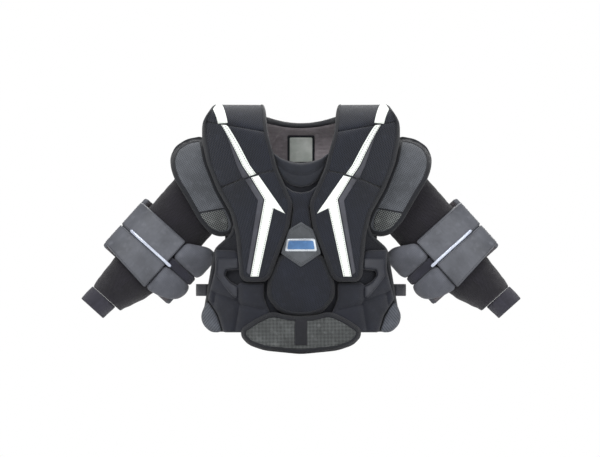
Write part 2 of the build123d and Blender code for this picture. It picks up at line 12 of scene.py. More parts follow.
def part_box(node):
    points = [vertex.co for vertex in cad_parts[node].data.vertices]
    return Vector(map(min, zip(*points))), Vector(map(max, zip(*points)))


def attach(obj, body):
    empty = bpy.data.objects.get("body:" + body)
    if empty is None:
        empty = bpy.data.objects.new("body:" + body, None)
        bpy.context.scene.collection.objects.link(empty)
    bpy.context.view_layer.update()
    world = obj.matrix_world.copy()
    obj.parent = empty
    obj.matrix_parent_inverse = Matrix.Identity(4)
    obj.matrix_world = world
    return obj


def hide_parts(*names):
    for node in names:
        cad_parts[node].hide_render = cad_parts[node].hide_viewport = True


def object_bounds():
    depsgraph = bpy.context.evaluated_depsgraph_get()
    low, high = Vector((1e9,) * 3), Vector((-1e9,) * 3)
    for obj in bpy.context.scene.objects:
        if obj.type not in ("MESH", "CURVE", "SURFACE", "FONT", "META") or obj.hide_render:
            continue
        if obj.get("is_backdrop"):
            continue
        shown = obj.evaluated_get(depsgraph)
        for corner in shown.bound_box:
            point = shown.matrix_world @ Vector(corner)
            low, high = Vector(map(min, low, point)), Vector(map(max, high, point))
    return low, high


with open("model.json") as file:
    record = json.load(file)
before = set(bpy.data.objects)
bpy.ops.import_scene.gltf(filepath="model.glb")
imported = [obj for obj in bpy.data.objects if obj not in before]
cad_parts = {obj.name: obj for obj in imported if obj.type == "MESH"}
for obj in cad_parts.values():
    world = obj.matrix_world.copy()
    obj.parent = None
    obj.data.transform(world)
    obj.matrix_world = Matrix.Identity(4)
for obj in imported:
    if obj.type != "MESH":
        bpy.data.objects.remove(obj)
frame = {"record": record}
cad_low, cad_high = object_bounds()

bpy.ops.object.select_all(action="DESELECT")


# ---- studio ----
# A pale floor under the hanging protector, a white surround, and a level view square to the chest.
VIEW_WIDE = 1.2
MM = 0.001

view_data = bpy.data.cameras.new("view")
view_data.type = "ORTHO"
view_data.ortho_scale = VIEW_WIDE
camera = bpy.data.objects.new("view", view_data)
camera.location = ((cad_low.x + cad_high.x) / 2 - 2 * MM, cad_low.y - 3, cad_low.z + 249 * MM)
camera.rotation_euler = (pi / 2, 0, 0)
bpy.context.scene.collection.objects.link(camera)
bpy.context.scene.camera = camera
bpy.context.scene.view_settings.view_transform = "Standard"

bpy.ops.mesh.primitive_plane_add(size=12, location=(0, 0, cad_low.z - 2 * MM))
floor = bpy.context.object
floor.name = "floor"
bpy.ops.object.transform_apply(location=True, rotation=False, scale=False)
pale = bpy.data.materials.new("pale floor")
pale.use_nodes = True
pale.node_tree.nodes["Principled BSDF"].inputs["Base Color"].default_value = (0.86, 0.86, 0.86, 1)
pale.node_tree.nodes["Principled BSDF"].inputs["Roughness"].default_value = 0.9
floor.data.materials.append(pale)
floor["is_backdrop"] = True

surround = bpy.data.worlds.new("studio")
surround.use_nodes = True
bpy.context.scene.world = surround
world_nodes, world_links = surround.node_tree.nodes, surround.node_tree.links
ray = world_nodes.new("ShaderNodeLightPath")
seen = world_nodes.new("ShaderNodeMath")
seen.operation = "MAXIMUM"
world_links.new(ray.outputs["Is Camera Ray"], seen.inputs[0])
world_links.new(ray.outputs["Is Transmission Ray"], seen.inputs[1])
level = world_nodes.new("ShaderNodeMapRange")
level.inputs["To Min"].default_value = 0.5
level.inputs["To Max"].default_value = 1.0
world_links.new(seen.outputs[0], level.inputs["Value"])
world_links.new(level.outputs[0], world_nodes["Background"].inputs["Strength"])
world_nodes["Background"].inputs["Color"].default_value = (1, 1, 1, 1)

for name, place, size, power in (("key lamp", (-1.1, -2.2, 1.7), 1.4, 46),
                                 ("fill lamp", (1.7, -2.0, 0.5), 1.8, 22),
                                 ("top lamp", (0, 0.3, 2.0), 1.5, 26),
                                 ("back lamp", (0.3, 2.4, 1.0), 2.0, 40)):
    lamp_data = bpy.data.lights.new(name, "AREA")
    lamp_data.size, lamp_data.energy = size, power
    lamp = bpy.data.objects.new(name, lamp_data)
    lamp.location = place
    lamp.rotation_euler = (Vector((0, 0, -0.2)) - Vector(place)).to_track_quat("-Z", "Y").to_euler()
    bpy.context.scene.collection.objects.link(lamp)


# ---- vest base ----
# The front of the vest that every pad is sewn to: 12 mm foam in a black knitted mesh, cut with a round neck
# and deep armholes. Its form is the wearer's trunk: a drum for the chest, rounded over at the shoulders.
CHEST_R, CHEST_Y = 250 * MM, 140 * MM
RIDGE_R, RIDGE_Y = 85 * MM, -25 * MM
BACK_R = 60 * MM
VEST_T = 12 * MM
VEST = [(0, -82), (38, -74), (62, -56), (70, -40), (70, 12), (140, 12), (139, -20), (130, -80), (124, -170),
        (140, -224), (172, -252), (196, -392), (172, -416), (0, -416)]
BLACK_MESH = (27, 29, 36)


def paint(red, green, blue):
    """A colour written as 0 to 255 on screen, as the shaders take it."""
    return tuple(((c / 255 + 0.055) / 1.055) ** 2.4 if c > 10 else c / 3300
                 for c in (red, green, blue)) + (1,)


def spaced(line, step, closed=False):
    """Points at even steps along a line."""
    line = np.asarray(line, float)
    line = np.vstack([line, line[:1]]) if closed else line
    along = np.concatenate([[0], np.cumsum(np.linalg.norm(np.diff(line, axis=0), axis=1))])
    at = np.linspace(0, along[-1], max(3, int(round(along[-1] / step))) + 1)
    at = at[:-1] if closed else at
    return np.column_stack([np.interp(at, along, line[:, i]) for i in range(line.shape[1])])


def closed_line(points, corner, step=3 * MM):
    """An anticlockwise outline through the points with rounded corners, or sharp ones where corner is 0."""
    points = np.asarray(points, float)
    on = np.roll(points, -1, 0)
    if np.sum(points[:, 0] * on[:, 1] - on[:, 0] * points[:, 1]) < 0:
        points = points[::-1]
    line = []
    for before, point, after in zip(np.roll(points, 1, 0), points, np.roll(points, -1, 0)):
        back, ahead = before - point, after - point
        if corner == 0:
            count = max(1, int(round(np.linalg.norm(ahead) / step)))
            line += [point + ahead * i / count for i in range(count)]
            continue
        reach = min(corner, np.linalg.norm(back) * 0.48, np.linalg.norm(ahead) * 0.48)
        start = point + back / np.linalg.norm(back) * reach
        end = point + ahead / np.linalg.norm(ahead) * reach
        line += [start * (1 - t) ** 2 + 2 * point * t * (1 - t) + end * t * t for t in np.linspace(0, 1, 7)]
    return np.array(line) if corner == 0 else spaced(line, step, closed=True)


def inward(line, closed=True):
    """The direction square to a line at each point, into the outline."""
    ahead = np.roll(line, -1, 0) - np.roll(line, 1, 0) if closed else np.gradient(line, axis=0)
    ahead = ahead / (np.linalg.norm(ahead, axis=1)[:, None] + 1e-12)
    return np.column_stack([-ahead[:, 1], ahead[:, 0]])


def nearest(points, line, closed=True):
    """Distance from each point to a line, and how far along the line the nearest place is."""
    start = line if closed else line[:-1]
    step = (np.roll(line, -1, 0) if closed else line[1:]) - start
    length = np.linalg.norm(step, axis=1) + 1e-12
    passed = np.concatenate([[0], np.cumsum(length)[:-1]])
    gap, along = np.empty(len(points)), np.empty(len(points))
    for i in range(0, len(points), 2000):
        offset = points[i:i + 2000, None] - start[None]
        t = np.clip((offset * step).sum(2) / length ** 2, 0, 1)
        far = np.linalg.norm(offset - t[:, :, None] * step, axis=2)
        best = far.argmin(1)
        row = np.arange(len(best))
        gap[i:i + 2000] = far[row, best]
        along[i:i + 2000] = passed[best] + t[row, best] * length[best]
    return gap, along


def within(points, line):
    """Which points lie inside a closed line."""
    ax, ay = line.T
    bx, by = np.roll(line, -1, 0).T
    x, y = points[:, :1], points[:, 1:]
    crossed = ((ay > y) != (by > y)) & (x < ax + (y - ay) * (bx - ax) / (by - ay + 1e-15))
    return crossed.sum(1) % 2 == 1


def filled(edge, spacing, rows=(), seams=()):
    """Triangles inside an outline: rows of points along its edge and seams, an even lattice between them."""
    groups = [(edge, 0)]
    near = rows[-1] if len(rows) else 0
    for seam in seams:
        for off in (0, 1.6 * MM, -1.6 * MM, 4 * MM, -4 * MM):
            groups.append((seam + inward(seam, False) * off, 1.1 * MM if off else 1.4 * MM))
    for row in rows:
        groups.append((edge + inward(edge) * row, 0.45 * min(row, spacing)))
    low, high = edge.min(0), edge.max(0)
    xs = np.arange(low[0], high[0], spacing)
    ys = np.arange(low[1], high[1], spacing * 0.866)
    lattice = np.array([(x + (spacing / 2 if j % 2 else 0), y) for j, y in enumerate(ys) for x in xs])
    groups.append((lattice, 0.62 * spacing))
    kept, cells, size = [], {}, max(spacing, 4 * MM)
    for index, (points, room) in enumerate(groups):
        if index:
            points = points[within(points, edge)]
            if len(points):
                clear = 0.85 * near + room * 0.5 if index == len(groups) - 1 else 0.7 * max(room, 0.5 * MM)
                points = points[nearest(points, edge)[0] > clear]
        for x, y in points:
            cx, cy = int(x // size), int(y // size)
            if index and any((x - a) ** 2 + (y - b) ** 2 < room * room for i in (-1, 0, 1) for j in (-1, 0, 1)
                             for a, b in cells.get((cx + i, cy + j), ())):
                continue
            kept.append((x, y))
            cells.setdefault((cx, cy), []).append((x, y))
    count = len(edge)
    ring = [(i, (i + 1) % count) for i in range(count)]
    points, _, faces, origin, _, _ = delaunay_2d_cdt([Vector(p) for p in kept], ring, [], 1, 1e-7)
    where = {i: j for j, old in enumerate(origin) for i in old}
    order = [where[i] for i in range(count)]
    first = set(order)
    rest = [j for j in range(len(points)) if j not in first]
    number = {j: i for i, j in enumerate(order + rest)}
    return np.array([points[j] for j in order + rest]), [tuple(number[v] for v in f) for f in faces]


def rumple(points, size, seed):
    """Smooth random height between -1 and 1, in bumps of the given size."""
    return np.array([noise.noise(Vector((x / size, y / size, seed))) for x, y in points])


def padded_face(edge, base, height, rim=7 * MM, low=0.6, swell=0.0, reach=40 * MM, seams=(), groove=3 * MM,
                width=4 * MM, pucker=0.25 * MM, sag=0.4 * MM, seed=0.0):
    """Lift of a pad's face over its outline: rounded at the rim, crowned by swell, drawn down along its seams."""
    def lift(points):
        gap, along = nearest(points, edge)
        q, r = np.clip(gap / rim, 0, 1), np.clip(gap / reach, 0, 1)
        tall = height(points) if callable(height) else height
        up = tall * (low + (1 - low) * np.sqrt(1 - (1 - q) ** 2)) + swell * (1 - (1 - r) ** 2)
        for seam in seams:
            off, on = nearest(points, seam, False)
            up = up - groove * np.exp(-(off / width) ** 1.3)
            along = np.where(off < gap, on, along)
            gap = np.minimum(gap, off)
        wave = np.sin(along * 2 * pi / (8 * MM) + 2.5 * np.sin(along * 2 * pi / (47 * MM)))
        up = up + pucker * wave * np.exp(-gap / (5 * MM)) * np.clip(gap / (1.5 * MM), 0, 1)
        up = up + sag * rumple(points, 45 * MM, seed) * np.clip(gap / (12 * MM), 0, 1)
        return (base(points) if callable(base) else base) + up
    return lift


def mesh_piece(name, points, faces, uv, inner=None):
    """A smooth-shaded mesh object with its cloth coordinates in metres, its faces pointing outwards."""
    points = np.asarray(points, float)
    cut = np.array([(f[0], f[i], f[i + 1]) for f in faces for i in range(1, len(f) - 1)])
    volume = (points[cut[:, 0]] * np.cross(points[cut[:, 1]], points[cut[:, 2]])).sum()
    if volume < 0:
        faces = [tuple(reversed(f)) for f in faces]
    mesh = bpy.data.meshes.new(name)
    mesh.from_pydata(points.tolist(), [], faces)
    layer = mesh.uv_layers.new(name="cloth")
    corner = np.empty(len(mesh.loops), int)
    mesh.loops.foreach_get("vertex_index", corner)
    layer.data.foreach_set("uv", np.asarray(uv, float)[corner].ravel())
    mesh.shade_smooth()
    if inner is not None:
        mesh.polygons.foreach_set("material_index", np.array(inner, int))
    mesh.update()
    piece = bpy.data.objects.new(name, mesh)
    bpy.context.scene.collection.objects.link(piece)
    return piece


def lifts(base):
    """The lift of a layer at each point, from one number or a function."""
    return base if callable(base) else lambda points: np.full(len(points), base)


def pad(name, edge, place, base, face, spacing=4 * MM, rows=(0.8 * MM, 2 * MM, 4 * MM, 7 * MM), seams=(),
        bulge=0.8 * MM, walls=4):
    """A closed foam pad: a padded face, walls that bulge a little, and a flat underside."""
    top, top_faces = filled(edge, spacing, rows, seams)
    under, under_faces = filled(edge, 3 * spacing)
    count = len(edge)
    out = -inward(edge)
    low = lifts(base)
    edge_top, edge_low = face(edge), low(edge)
    points, uv = [place(top[:, 0], top[:, 1], face(top))], [top]
    for i in range(1, walls):
        f = 1 - i / walls
        ring = edge + out * (bulge * sin(pi * f))
        points.append(place(ring[:, 0], ring[:, 1], edge_low + f * (edge_top - edge_low)))
        uv.append(edge + out * (1 - f) * np.abs(edge_top - edge_low)[:, None])
    points.append(place(under[:, 0], under[:, 1], low(under)))
    uv.append(np.vstack([edge + out * np.abs(edge_top - edge_low)[:, None], under[count:]]))
    starts = [0] + [len(top) + i * count for i in range(walls)]
    faces = list(top_faces)
    for a, b in zip(starts, starts[1:]):
        faces += [(a + i, b + i, b + (i + 1) % count, a + (i + 1) % count) for i in range(count)]
    below = [tuple(starts[-1] + v for v in reversed(f)) for f in under_faces]
    inner = [0] * len(faces) + [1] * len(below)
    return mesh_piece(name, np.vstack(points), faces + below, np.vstack(uv), inner)


def tape(name, line, place, base, face, wide=5.5 * MM, thick=1.2 * MM, closed=True, over=True):
    """Binding folded over the edge of a pad, or a flat tape on its face where over is False."""
    if over:
        section = [(-thick, 0.04, 0), (-thick - 0.5 * MM, 0.45, 0), (-thick * 0.9, 0.85, thick * 0.3),
                   (0.3 * MM, 1, thick * 0.9), (0.28 * wide, 1, thick * 1.25), (0.62 * wide, 1, thick * 1.15),
                   (0.92 * wide, 1, thick * 0.75), (wide + 0.2 * MM, 1, 0.1 * MM), (0.8 * wide, 1, -0.5 * MM),
                   (0.3 * wide, 0.9, -1.2 * MM), (1.2 * MM, 0.5, 0), (1 * MM, 0.04, 0)]
    else:
        half = wide / 2
        section = [(-half, 1, -0.2 * MM), (-half, 1, thick * 0.6), (-0.8 * half, 1, thick),
                   (0, 1, thick * 1.1), (0.8 * half, 1, thick), (half, 1, thick * 0.6),
                   (half, 1, -0.2 * MM), (0, 1, -0.3 * MM)]
    square = inward(line, closed)
    low = lifts(base)
    rings, uv, turn, last = [], [], 0, None
    along = np.concatenate([[0], np.cumsum(np.linalg.norm(np.diff(line, axis=0), axis=1))])
    for off, share, extra in section:
        at = line + square * off
        inside = line + square * (max(off, 0.0) if over else off)
        lift = low(inside) + share * (face(inside) - low(inside)) + extra
        rings.append(place(at[:, 0], at[:, 1], lift))
        if last is not None:
            turn += abs(off - last[0]) + abs(extra - last[1]) + 2 * MM
        last = (off, extra)
        uv.append(np.column_stack([along, np.full(len(line), turn)]))
    count, sides = len(line), len(section)
    faces = []
    for s in range(sides):
        a, b = s * count, (s + 1) % sides * count
        for i in range(count if closed else count - 1):
            faces.append((a + i, a + (i + 1) % count, b + (i + 1) % count, b + i))
    if not closed:
        faces += [tuple(s * count for s in range(sides)), tuple(s * count + count - 1
                                                                for s in reversed(range(sides)))]
    return mesh_piece(name, np.vstack(rings), faces, np.vstack(uv))


def stitches(name, line, place, face, pitch=4.2 * MM, length=2.9 * MM, thick=0.42 * MM, closed=False):
    """A row of sewn thread, each stitch a small bead sunk a little at both ends."""
    line = spaced(line, pitch, closed)
    step = np.roll(line, -1, 0) - line if closed else np.gradient(line, axis=0)
    step = step / (np.linalg.norm(step, axis=1)[:, None] + 1e-12)
    rings = []
    sides = 6
    for end, radius, depth in ((-0.5, 0.35, -0.35), (-0.32, 0.9, 0.25), (0, 1, 0.5), (0.32, 0.9, 0.25),
                               (0.5, 0.35, -0.35)):
        at = line + step * end * length
        centre = place(at[:, 0], at[:, 1], face(at) + depth * thick)
        up = place(at[:, 0], at[:, 1], face(at) + 1 * MM) - place(at[:, 0], at[:, 1], face(at))
        up = up / np.linalg.norm(up, axis=1)[:, None]
        ahead = place(*(at + step * 0.5 * MM).T, face(at)) - place(*(at - step * 0.5 * MM).T, face(at))
        across = np.cross(ahead, up)
        across = across / (np.linalg.norm(across, axis=1)[:, None] + 1e-12)
        rings.append([centre + thick * radius * (cos(a) * across + sin(a) * up)
                      for a in np.linspace(0, 2 * pi, sides, endpoint=False)])
    cloud = np.array(rings).transpose(2, 0, 1, 3).reshape(-1, 3)
    faces, per = [], 5 * sides
    for s in range(len(line)):
        o = s * per
        for r in range(4):
            faces += [(o + r * sides + i, o + r * sides + (i + 1) % sides,
                       o + (r + 1) * sides + (i + 1) % sides, o + (r + 1) * sides + i)
                      for i in range(sides)]
        faces += [tuple(o + i for i in reversed(range(sides))), tuple(o + 4 * sides + i
                                                                      for i in range(sides))]
    return mesh_piece(name, cloud, faces, np.repeat(line, per, 0))


def on_trunk(x, s, lift):
    """Where the trunk grown by lift is: x across it, s down the chest from the ridge, less than 0 down the back."""
    front = np.clip(s / RIDGE_R, 0, pi / 2)
    flat = np.clip(-s, 0, -RIDGE_Y)
    back = np.clip((RIDGE_Y - s) / BACK_R, 0, pi / 2)
    y = RIDGE_Y + flat - (RIDGE_R + lift) * np.sin(front) + (BACK_R + lift) * np.sin(back)
    z = lift - (RIDGE_R + lift) * (1 - np.cos(front)) - (BACK_R + lift) * (1 - np.cos(back))
    z = z - np.clip(s - RIDGE_R * pi / 2, 0, None) - np.clip(RIDGE_Y - s - BACK_R * pi / 2, 0, None)
    drum = CHEST_Y - np.sqrt((CHEST_R + lift) ** 2 - x ** 2)
    ease = 14 * MM * np.cos(front)
    y = np.where(s > RIDGE_Y, (y + drum + np.sqrt((y - drum) ** 2 + ease ** 2)) / 2, y)
    return np.column_stack([x, y, z])


def hung(points, lift):
    """An outline in the front view, as distances across and down the chest on the layer at lift."""
    points = np.asarray(points, float)
    turn = np.arccos(np.clip((points[:, 1] + RIDGE_R) / (RIDGE_R + lift), -1, 1))
    down = np.where(points[:, 1] > -RIDGE_R, RIDGE_R * turn, RIDGE_R * (pi / 2 - 1) - points[:, 1])
    return np.column_stack([points[:, 0], down])


def cut_to(points, node):
    """An outline in millimetres, moved and stretched to the front view of its CAD piece's box, in metres."""
    points = np.asarray(points, float) * MM
    low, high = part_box(node)
    for axis, (a, b) in enumerate(((low.x, high.x), (low.z, high.z))):
        start, end = points[:, axis].min(), points[:, axis].max()
        points[:, axis] = a + (points[:, axis] - start) * (b - a) / (end - start)
    return points


def both_sides(points):
    """An outline's left half, with its mirror image added for the right."""
    points = np.asarray(points, float)
    other = points[::-1] * (-1, 1)
    return np.vstack([points, other[np.abs(other[:, 0]) > 1e-9]])


def other_side(piece, name):
    """The right-hand copy of a left-hand piece."""
    mesh = piece.data.copy()
    mesh.name = name
    for vertex in mesh.vertices:
        vertex.co.x *= -1
    mesh.flip_normals()
    copy = bpy.data.objects.new(name, mesh)
    bpy.context.scene.collection.objects.link(copy)
    return copy


def sewn(piece, body, slot, nodes=()):
    """Fix a finished piece on its body and hide the CAD pieces that it stands for. Its slot is not used."""
    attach(piece, body)
    if nodes:
        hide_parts(*nodes)
    return piece


def sewn_pair(piece, body, slot, nodes=()):
    """The same for a left-hand piece, and its mirror image."""
    right = other_side(piece, piece.name.replace("left_", "right_"))
    sewn(right, body.replace("left_", "right_"), slot, [n.replace("left_", "right_") for n in nodes])
    sewn(piece, body, slot, nodes)
    return right


def group(name, inputs, outputs):
    """An empty shader group with named sockets, and its node tree."""
    tree = bpy.data.node_groups.new(name, "ShaderNodeTree")
    for socket, kind, value in inputs:
        made = tree.interface.new_socket(socket, in_out="INPUT", socket_type=kind)
        if value is not None:
            made.default_value = value
    for socket, kind in outputs:
        tree.interface.new_socket(socket, in_out="OUTPUT", socket_type=kind)
    return tree, tree.nodes.new("NodeGroupInput"), tree.nodes.new("NodeGroupOutput")


def maths(tree, operation, *values, clamp=False):
    """A Math node with its sockets fed by numbers or other nodes' outputs."""
    node = tree.nodes.new("ShaderNodeMath")
    node.operation, node.use_clamp = operation, clamp
    for socket, value in zip(node.inputs, values):
        if isinstance(value, (int, float)):
            socket.default_value = value
        else:
            tree.links.new(value, socket)
    return node.outputs[0]


def vectors(tree, operation, *values):
    """A Vector Math node fed in the same way."""
    node = tree.nodes.new("ShaderNodeVectorMath")
    node.operation = operation
    for socket, value in zip([s for s in node.inputs if s.type == "VECTOR"], values):
        if isinstance(value, tuple):
            socket.default_value = value
        else:
            tree.links.new(value, socket)
    return node.outputs["Value"] if operation == "LENGTH" else node.outputs["Vector"]


FLOAT, VECTOR = "NodeSocketFloat", "NodeSocketVector"

# knitted mesh with staggered holes: a lattice turned by Turn, Pitch between holes, each Hole across
holes_tree, g_in, g_out = group("mesh holes", [("Cloth", VECTOR, None), ("Pitch", FLOAT, 0.004),
                                               ("Hole", FLOAT, 0.5), ("Stretch", FLOAT, 1.0),
                                               ("Turn", FLOAT, 0.0)],
                                [("Hole mask", FLOAT), ("Height", FLOAT)])
turned = holes_tree.nodes.new("ShaderNodeVectorRotate")
turned.rotation_type = "Z_AXIS"
holes_tree.links.new(g_in.outputs["Cloth"], turned.inputs["Vector"])
holes_tree.links.new(g_in.outputs["Turn"], turned.inputs["Angle"])
scaled = holes_tree.nodes.new("ShaderNodeVectorMath")
scaled.operation = "SCALE"
holes_tree.links.new(turned.outputs[0], scaled.inputs[0])
holes_tree.links.new(maths(holes_tree, "DIVIDE", 1.0, g_in.outputs["Pitch"]), scaled.inputs["Scale"])
stretched = holes_tree.nodes.new("ShaderNodeCombineXYZ")
holes_tree.links.new(g_in.outputs["Stretch"], stretched.inputs[1])
stretched.inputs[0].default_value = 1
lattice = vectors(holes_tree, "MULTIPLY", scaled.outputs[0], stretched.outputs[0])
dots = []
for shift in ((0.0, 0.0, 0.0), (0.5, 0.5, 0.0)):
    cell = vectors(holes_tree, "FRACTION", vectors(holes_tree, "ADD", lattice, shift))
    dots.append(vectors(holes_tree, "LENGTH", vectors(holes_tree, "SUBTRACT", cell, (0.5, 0.5, 0.0))))
near_dot = maths(holes_tree, "MINIMUM", *dots)
half_hole = maths(holes_tree, "MULTIPLY", g_in.outputs["Hole"], 0.5)
# the hole mask lays the dark colour in the holes: the layer beneath, darkened further as painted shade
mask = holes_tree.nodes.new("ShaderNodeMapRange")
mask.interpolation_type = "SMOOTHSTEP"
holes_tree.links.new(near_dot, mask.inputs["Value"])
holes_tree.links.new(maths(holes_tree, "MULTIPLY", half_hole, 0.65), mask.inputs["From Min"])
holes_tree.links.new(maths(holes_tree, "MULTIPLY", half_hole, 1.25), mask.inputs["From Max"])
mask.inputs["To Min"].default_value, mask.inputs["To Max"].default_value = 1, 0
holes_tree.links.new(mask.outputs[0], g_out.inputs["Hole mask"])
holes_tree.links.new(maths(holes_tree, "SUBTRACT", 1.0, mask.outputs[0]), g_out.inputs["Height"])

# woven or ribbed cloth: threads across and along at Pitch, the ribs turned by Turn
weave_tree, g_in, g_out = group("ribbed weave", [("Cloth", VECTOR, None), ("Rib", FLOAT, 0.002),
                                                 ("Thread", FLOAT, 0.0006), ("Turn", FLOAT, 0.0)],
                                [("Rib height", FLOAT), ("Height", FLOAT)])
turned = weave_tree.nodes.new("ShaderNodeVectorRotate")
turned.rotation_type = "Z_AXIS"
weave_tree.links.new(g_in.outputs["Cloth"], turned.inputs["Vector"])
weave_tree.links.new(g_in.outputs["Turn"], turned.inputs["Angle"])
axes = weave_tree.nodes.new("ShaderNodeSeparateXYZ")
weave_tree.links.new(turned.outputs[0], axes.inputs[0])


def waves(tree, position, pitch):
    """A rounded ridge at every pitch, from 0 to 1."""
    wave = maths(tree, "SINE", maths(tree, "MULTIPLY", maths(tree, "DIVIDE", position, pitch), 2 * pi))
    return maths(tree, "MULTIPLY_ADD", wave, 0.5, 0.5)


rib = waves(weave_tree, axes.outputs[0], g_in.outputs["Rib"])
thread = waves(weave_tree, maths(weave_tree, "ADD", axes.outputs[1],
                                 maths(weave_tree, "MULTIPLY", axes.outputs[0], 0.5)),
               g_in.outputs["Thread"])
weave_tree.links.new(rib, g_out.inputs["Rib height"])
weave_tree.links.new(maths(weave_tree, "MULTIPLY_ADD", thread, 0.3, maths(weave_tree, "MULTIPLY", rib, 0.7)),
                     g_out.inputs["Height"])

# slow changes of tone, and lint and rubbed patches, over any cloth
tone_tree, g_in, g_out = group("use and dust", [("Cloth", VECTOR, None), ("Size", FLOAT, 0.05)],
                               [("Tone", FLOAT), ("Rubbed", FLOAT)])
for socket, factor, detail, low, high in (("Tone", 1.0, 4, 0.35, 0.65), ("Rubbed", 3.5, 6, 0.56, 0.74)):
    cloud = tone_tree.nodes.new("ShaderNodeTexNoise")
    cloud.inputs["Detail"].default_value = detail
    tone_tree.links.new(g_in.outputs["Cloth"], cloud.inputs["Vector"])
    tone_tree.links.new(maths(tone_tree, "DIVIDE", factor, g_in.outputs["Size"]), cloud.inputs["Scale"])
    spread = tone_tree.nodes.new("ShaderNodeMapRange")
    spread.inputs["From Min"].default_value, spread.inputs["From Max"].default_value = low, high
    tone_tree.links.new(cloud.outputs["Fac"], spread.inputs["Value"])
    tone_tree.links.new(spread.outputs[0], g_out.inputs[socket])

# coated leather or vinyl: fine pebbles and creases
grain_tree, g_in, g_out = group("leather grain", [("Cloth", VECTOR, None), ("Pebble", FLOAT, 0.0012)],
                                [("Height", FLOAT), ("Crease", FLOAT)])
pebble = grain_tree.nodes.new("ShaderNodeTexVoronoi")
grain_tree.links.new(g_in.outputs["Cloth"], pebble.inputs["Vector"])
grain_tree.links.new(maths(grain_tree, "DIVIDE", 1.0, g_in.outputs["Pebble"]), pebble.inputs["Scale"])
crease = grain_tree.nodes.new("ShaderNodeTexNoise")
crease.inputs["Detail"].default_value = 5
grain_tree.links.new(g_in.outputs["Cloth"], crease.inputs["Vector"])
grain_tree.links.new(maths(grain_tree, "DIVIDE", 0.25, g_in.outputs["Pebble"]), crease.inputs["Scale"])
grain_tree.links.new(maths(grain_tree, "MULTIPLY_ADD", crease.outputs["Fac"], 0.8,
                           pebble.outputs["Distance"]), g_out.inputs["Height"])
grain_tree.links.new(crease.outputs["Fac"], g_out.inputs["Crease"])


def finish(name, colour, dark, light=None, rough=0.8, spread=0.12, sheen=0.0, bump=0.3 * MM, metal=0.0,
           coat=0.0, specular=0.3, tone=0.05):
    """A cloth or leather material. Returns it with the node tree, its cloth coordinates, and a function that
    finishes it from a mask of where the dark colour, painted shade in the cloth's low places, shows and a height."""
    material = bpy.data.materials.new(name)
    material.use_nodes = True
    tree = material.node_tree
    shader = tree.nodes["Principled BSDF"]
    shader.inputs["Metallic"].default_value = metal
    shader.inputs["Specular IOR Level"].default_value = specular
    shader.inputs["Sheen Weight"].default_value = sheen
    shader.inputs["Sheen Roughness"].default_value = 0.5
    shader.inputs["Coat Weight"].default_value = coat
    shader.inputs["Coat Roughness"].default_value = 0.25
    cloth = tree.nodes.new("ShaderNodeUVMap")
    cloth.uv_map = "cloth"
    cloth = cloth.outputs["UV"]
    light = light or tuple(min(255, c * 1.22 + 3) for c in colour)

    def blend(a, b, factor):
        node = tree.nodes.new("ShaderNodeMix")
        node.data_type = "RGBA"
        for socket, value in ((node.inputs[6], a), (node.inputs[7], b)):
            if isinstance(value, tuple):
                socket.default_value = value
            else:
                tree.links.new(value, socket)
        tree.links.new(factor, node.inputs[0])
        return node.outputs[2]

    def done(mask, height):
        use = tree.nodes.new("ShaderNodeGroup")
        use.node_tree = tone_tree
        use.inputs["Size"].default_value = tone
        tree.links.new(cloth, use.inputs["Cloth"])
        shade = blend(paint(*colour), paint(*light), use.outputs["Tone"])
        # painted shade: the dark colour goes where the mask is high, in the cloth's holes, rib valleys and low
        # creases
        shade = blend(shade, paint(*dark), mask)
        worn = maths(tree, "MULTIPLY", use.outputs["Rubbed"], 0.35)
        shade = blend(shade, paint(*(min(255, c * 1.35 + 6) for c in colour)), worn)
        tree.links.new(shade, shader.inputs["Base Color"])
        tree.links.new(maths(tree, "MULTIPLY_ADD", use.outputs["Tone"], spread, rough - spread / 2),
                       shader.inputs["Roughness"])
        raised = tree.nodes.new("ShaderNodeBump")
        raised.inputs["Distance"].default_value = bump
        tree.links.new(height, raised.inputs["Height"])
        tree.links.new(raised.outputs[0], shader.inputs["Normal"])
        return material
    return tree, cloth, done


def use_group(tree, cloth, source, **values):
    """Place a shader group in a material with its own values."""
    node = tree.nodes.new("ShaderNodeGroup")
    node.node_tree = source
    tree.links.new(cloth, node.inputs["Cloth"])
    for socket, value in values.items():
        node.inputs[socket.replace("_", " ")].default_value = value
    return node.outputs


def mesh_cloth(name, colour, dark, pitch, hole, stretch=0.58, turn=0.0, light=None, rough=0.85, sheen=0.15,
               bump=0.5 * MM, specular=0.25):
    """Knitted mesh with holes, the dark colour in them partly the layer below seen through and partly painted
    shade.
    """
    tree, cloth, done = finish(name, colour, dark, light, rough, sheen=sheen, bump=bump, specular=specular)
    net = use_group(tree, cloth, holes_tree, Pitch=pitch, Hole=hole, Stretch=stretch, Turn=turn)
    return done(net["Hole mask"], net["Height"])


def ribbed_cloth(name, colour, dark, rib, thread=0.7 * MM, turn=0.0, depth=0.5, light=None, rough=0.82,
                 sheen=0.15, bump=0.4 * MM, specular=0.25, coat=0.0):
    """Ribbed, woven or knitted cloth without holes, with painted shade in the valleys between its ribs."""
    tree, cloth, done = finish(name, colour, dark, light, rough, sheen=sheen, bump=bump, specular=specular,
                               coat=coat)
    ribs = use_group(tree, cloth, weave_tree, Rib=rib, Thread=thread, Turn=turn)
    # painted shade: the dark colour fills the valleys between the ribs
    valley_shade = maths(tree, "MULTIPLY", maths(tree, "SUBTRACT", 1.0, ribs["Rib height"]), depth)
    return done(valley_shade, ribs["Height"])


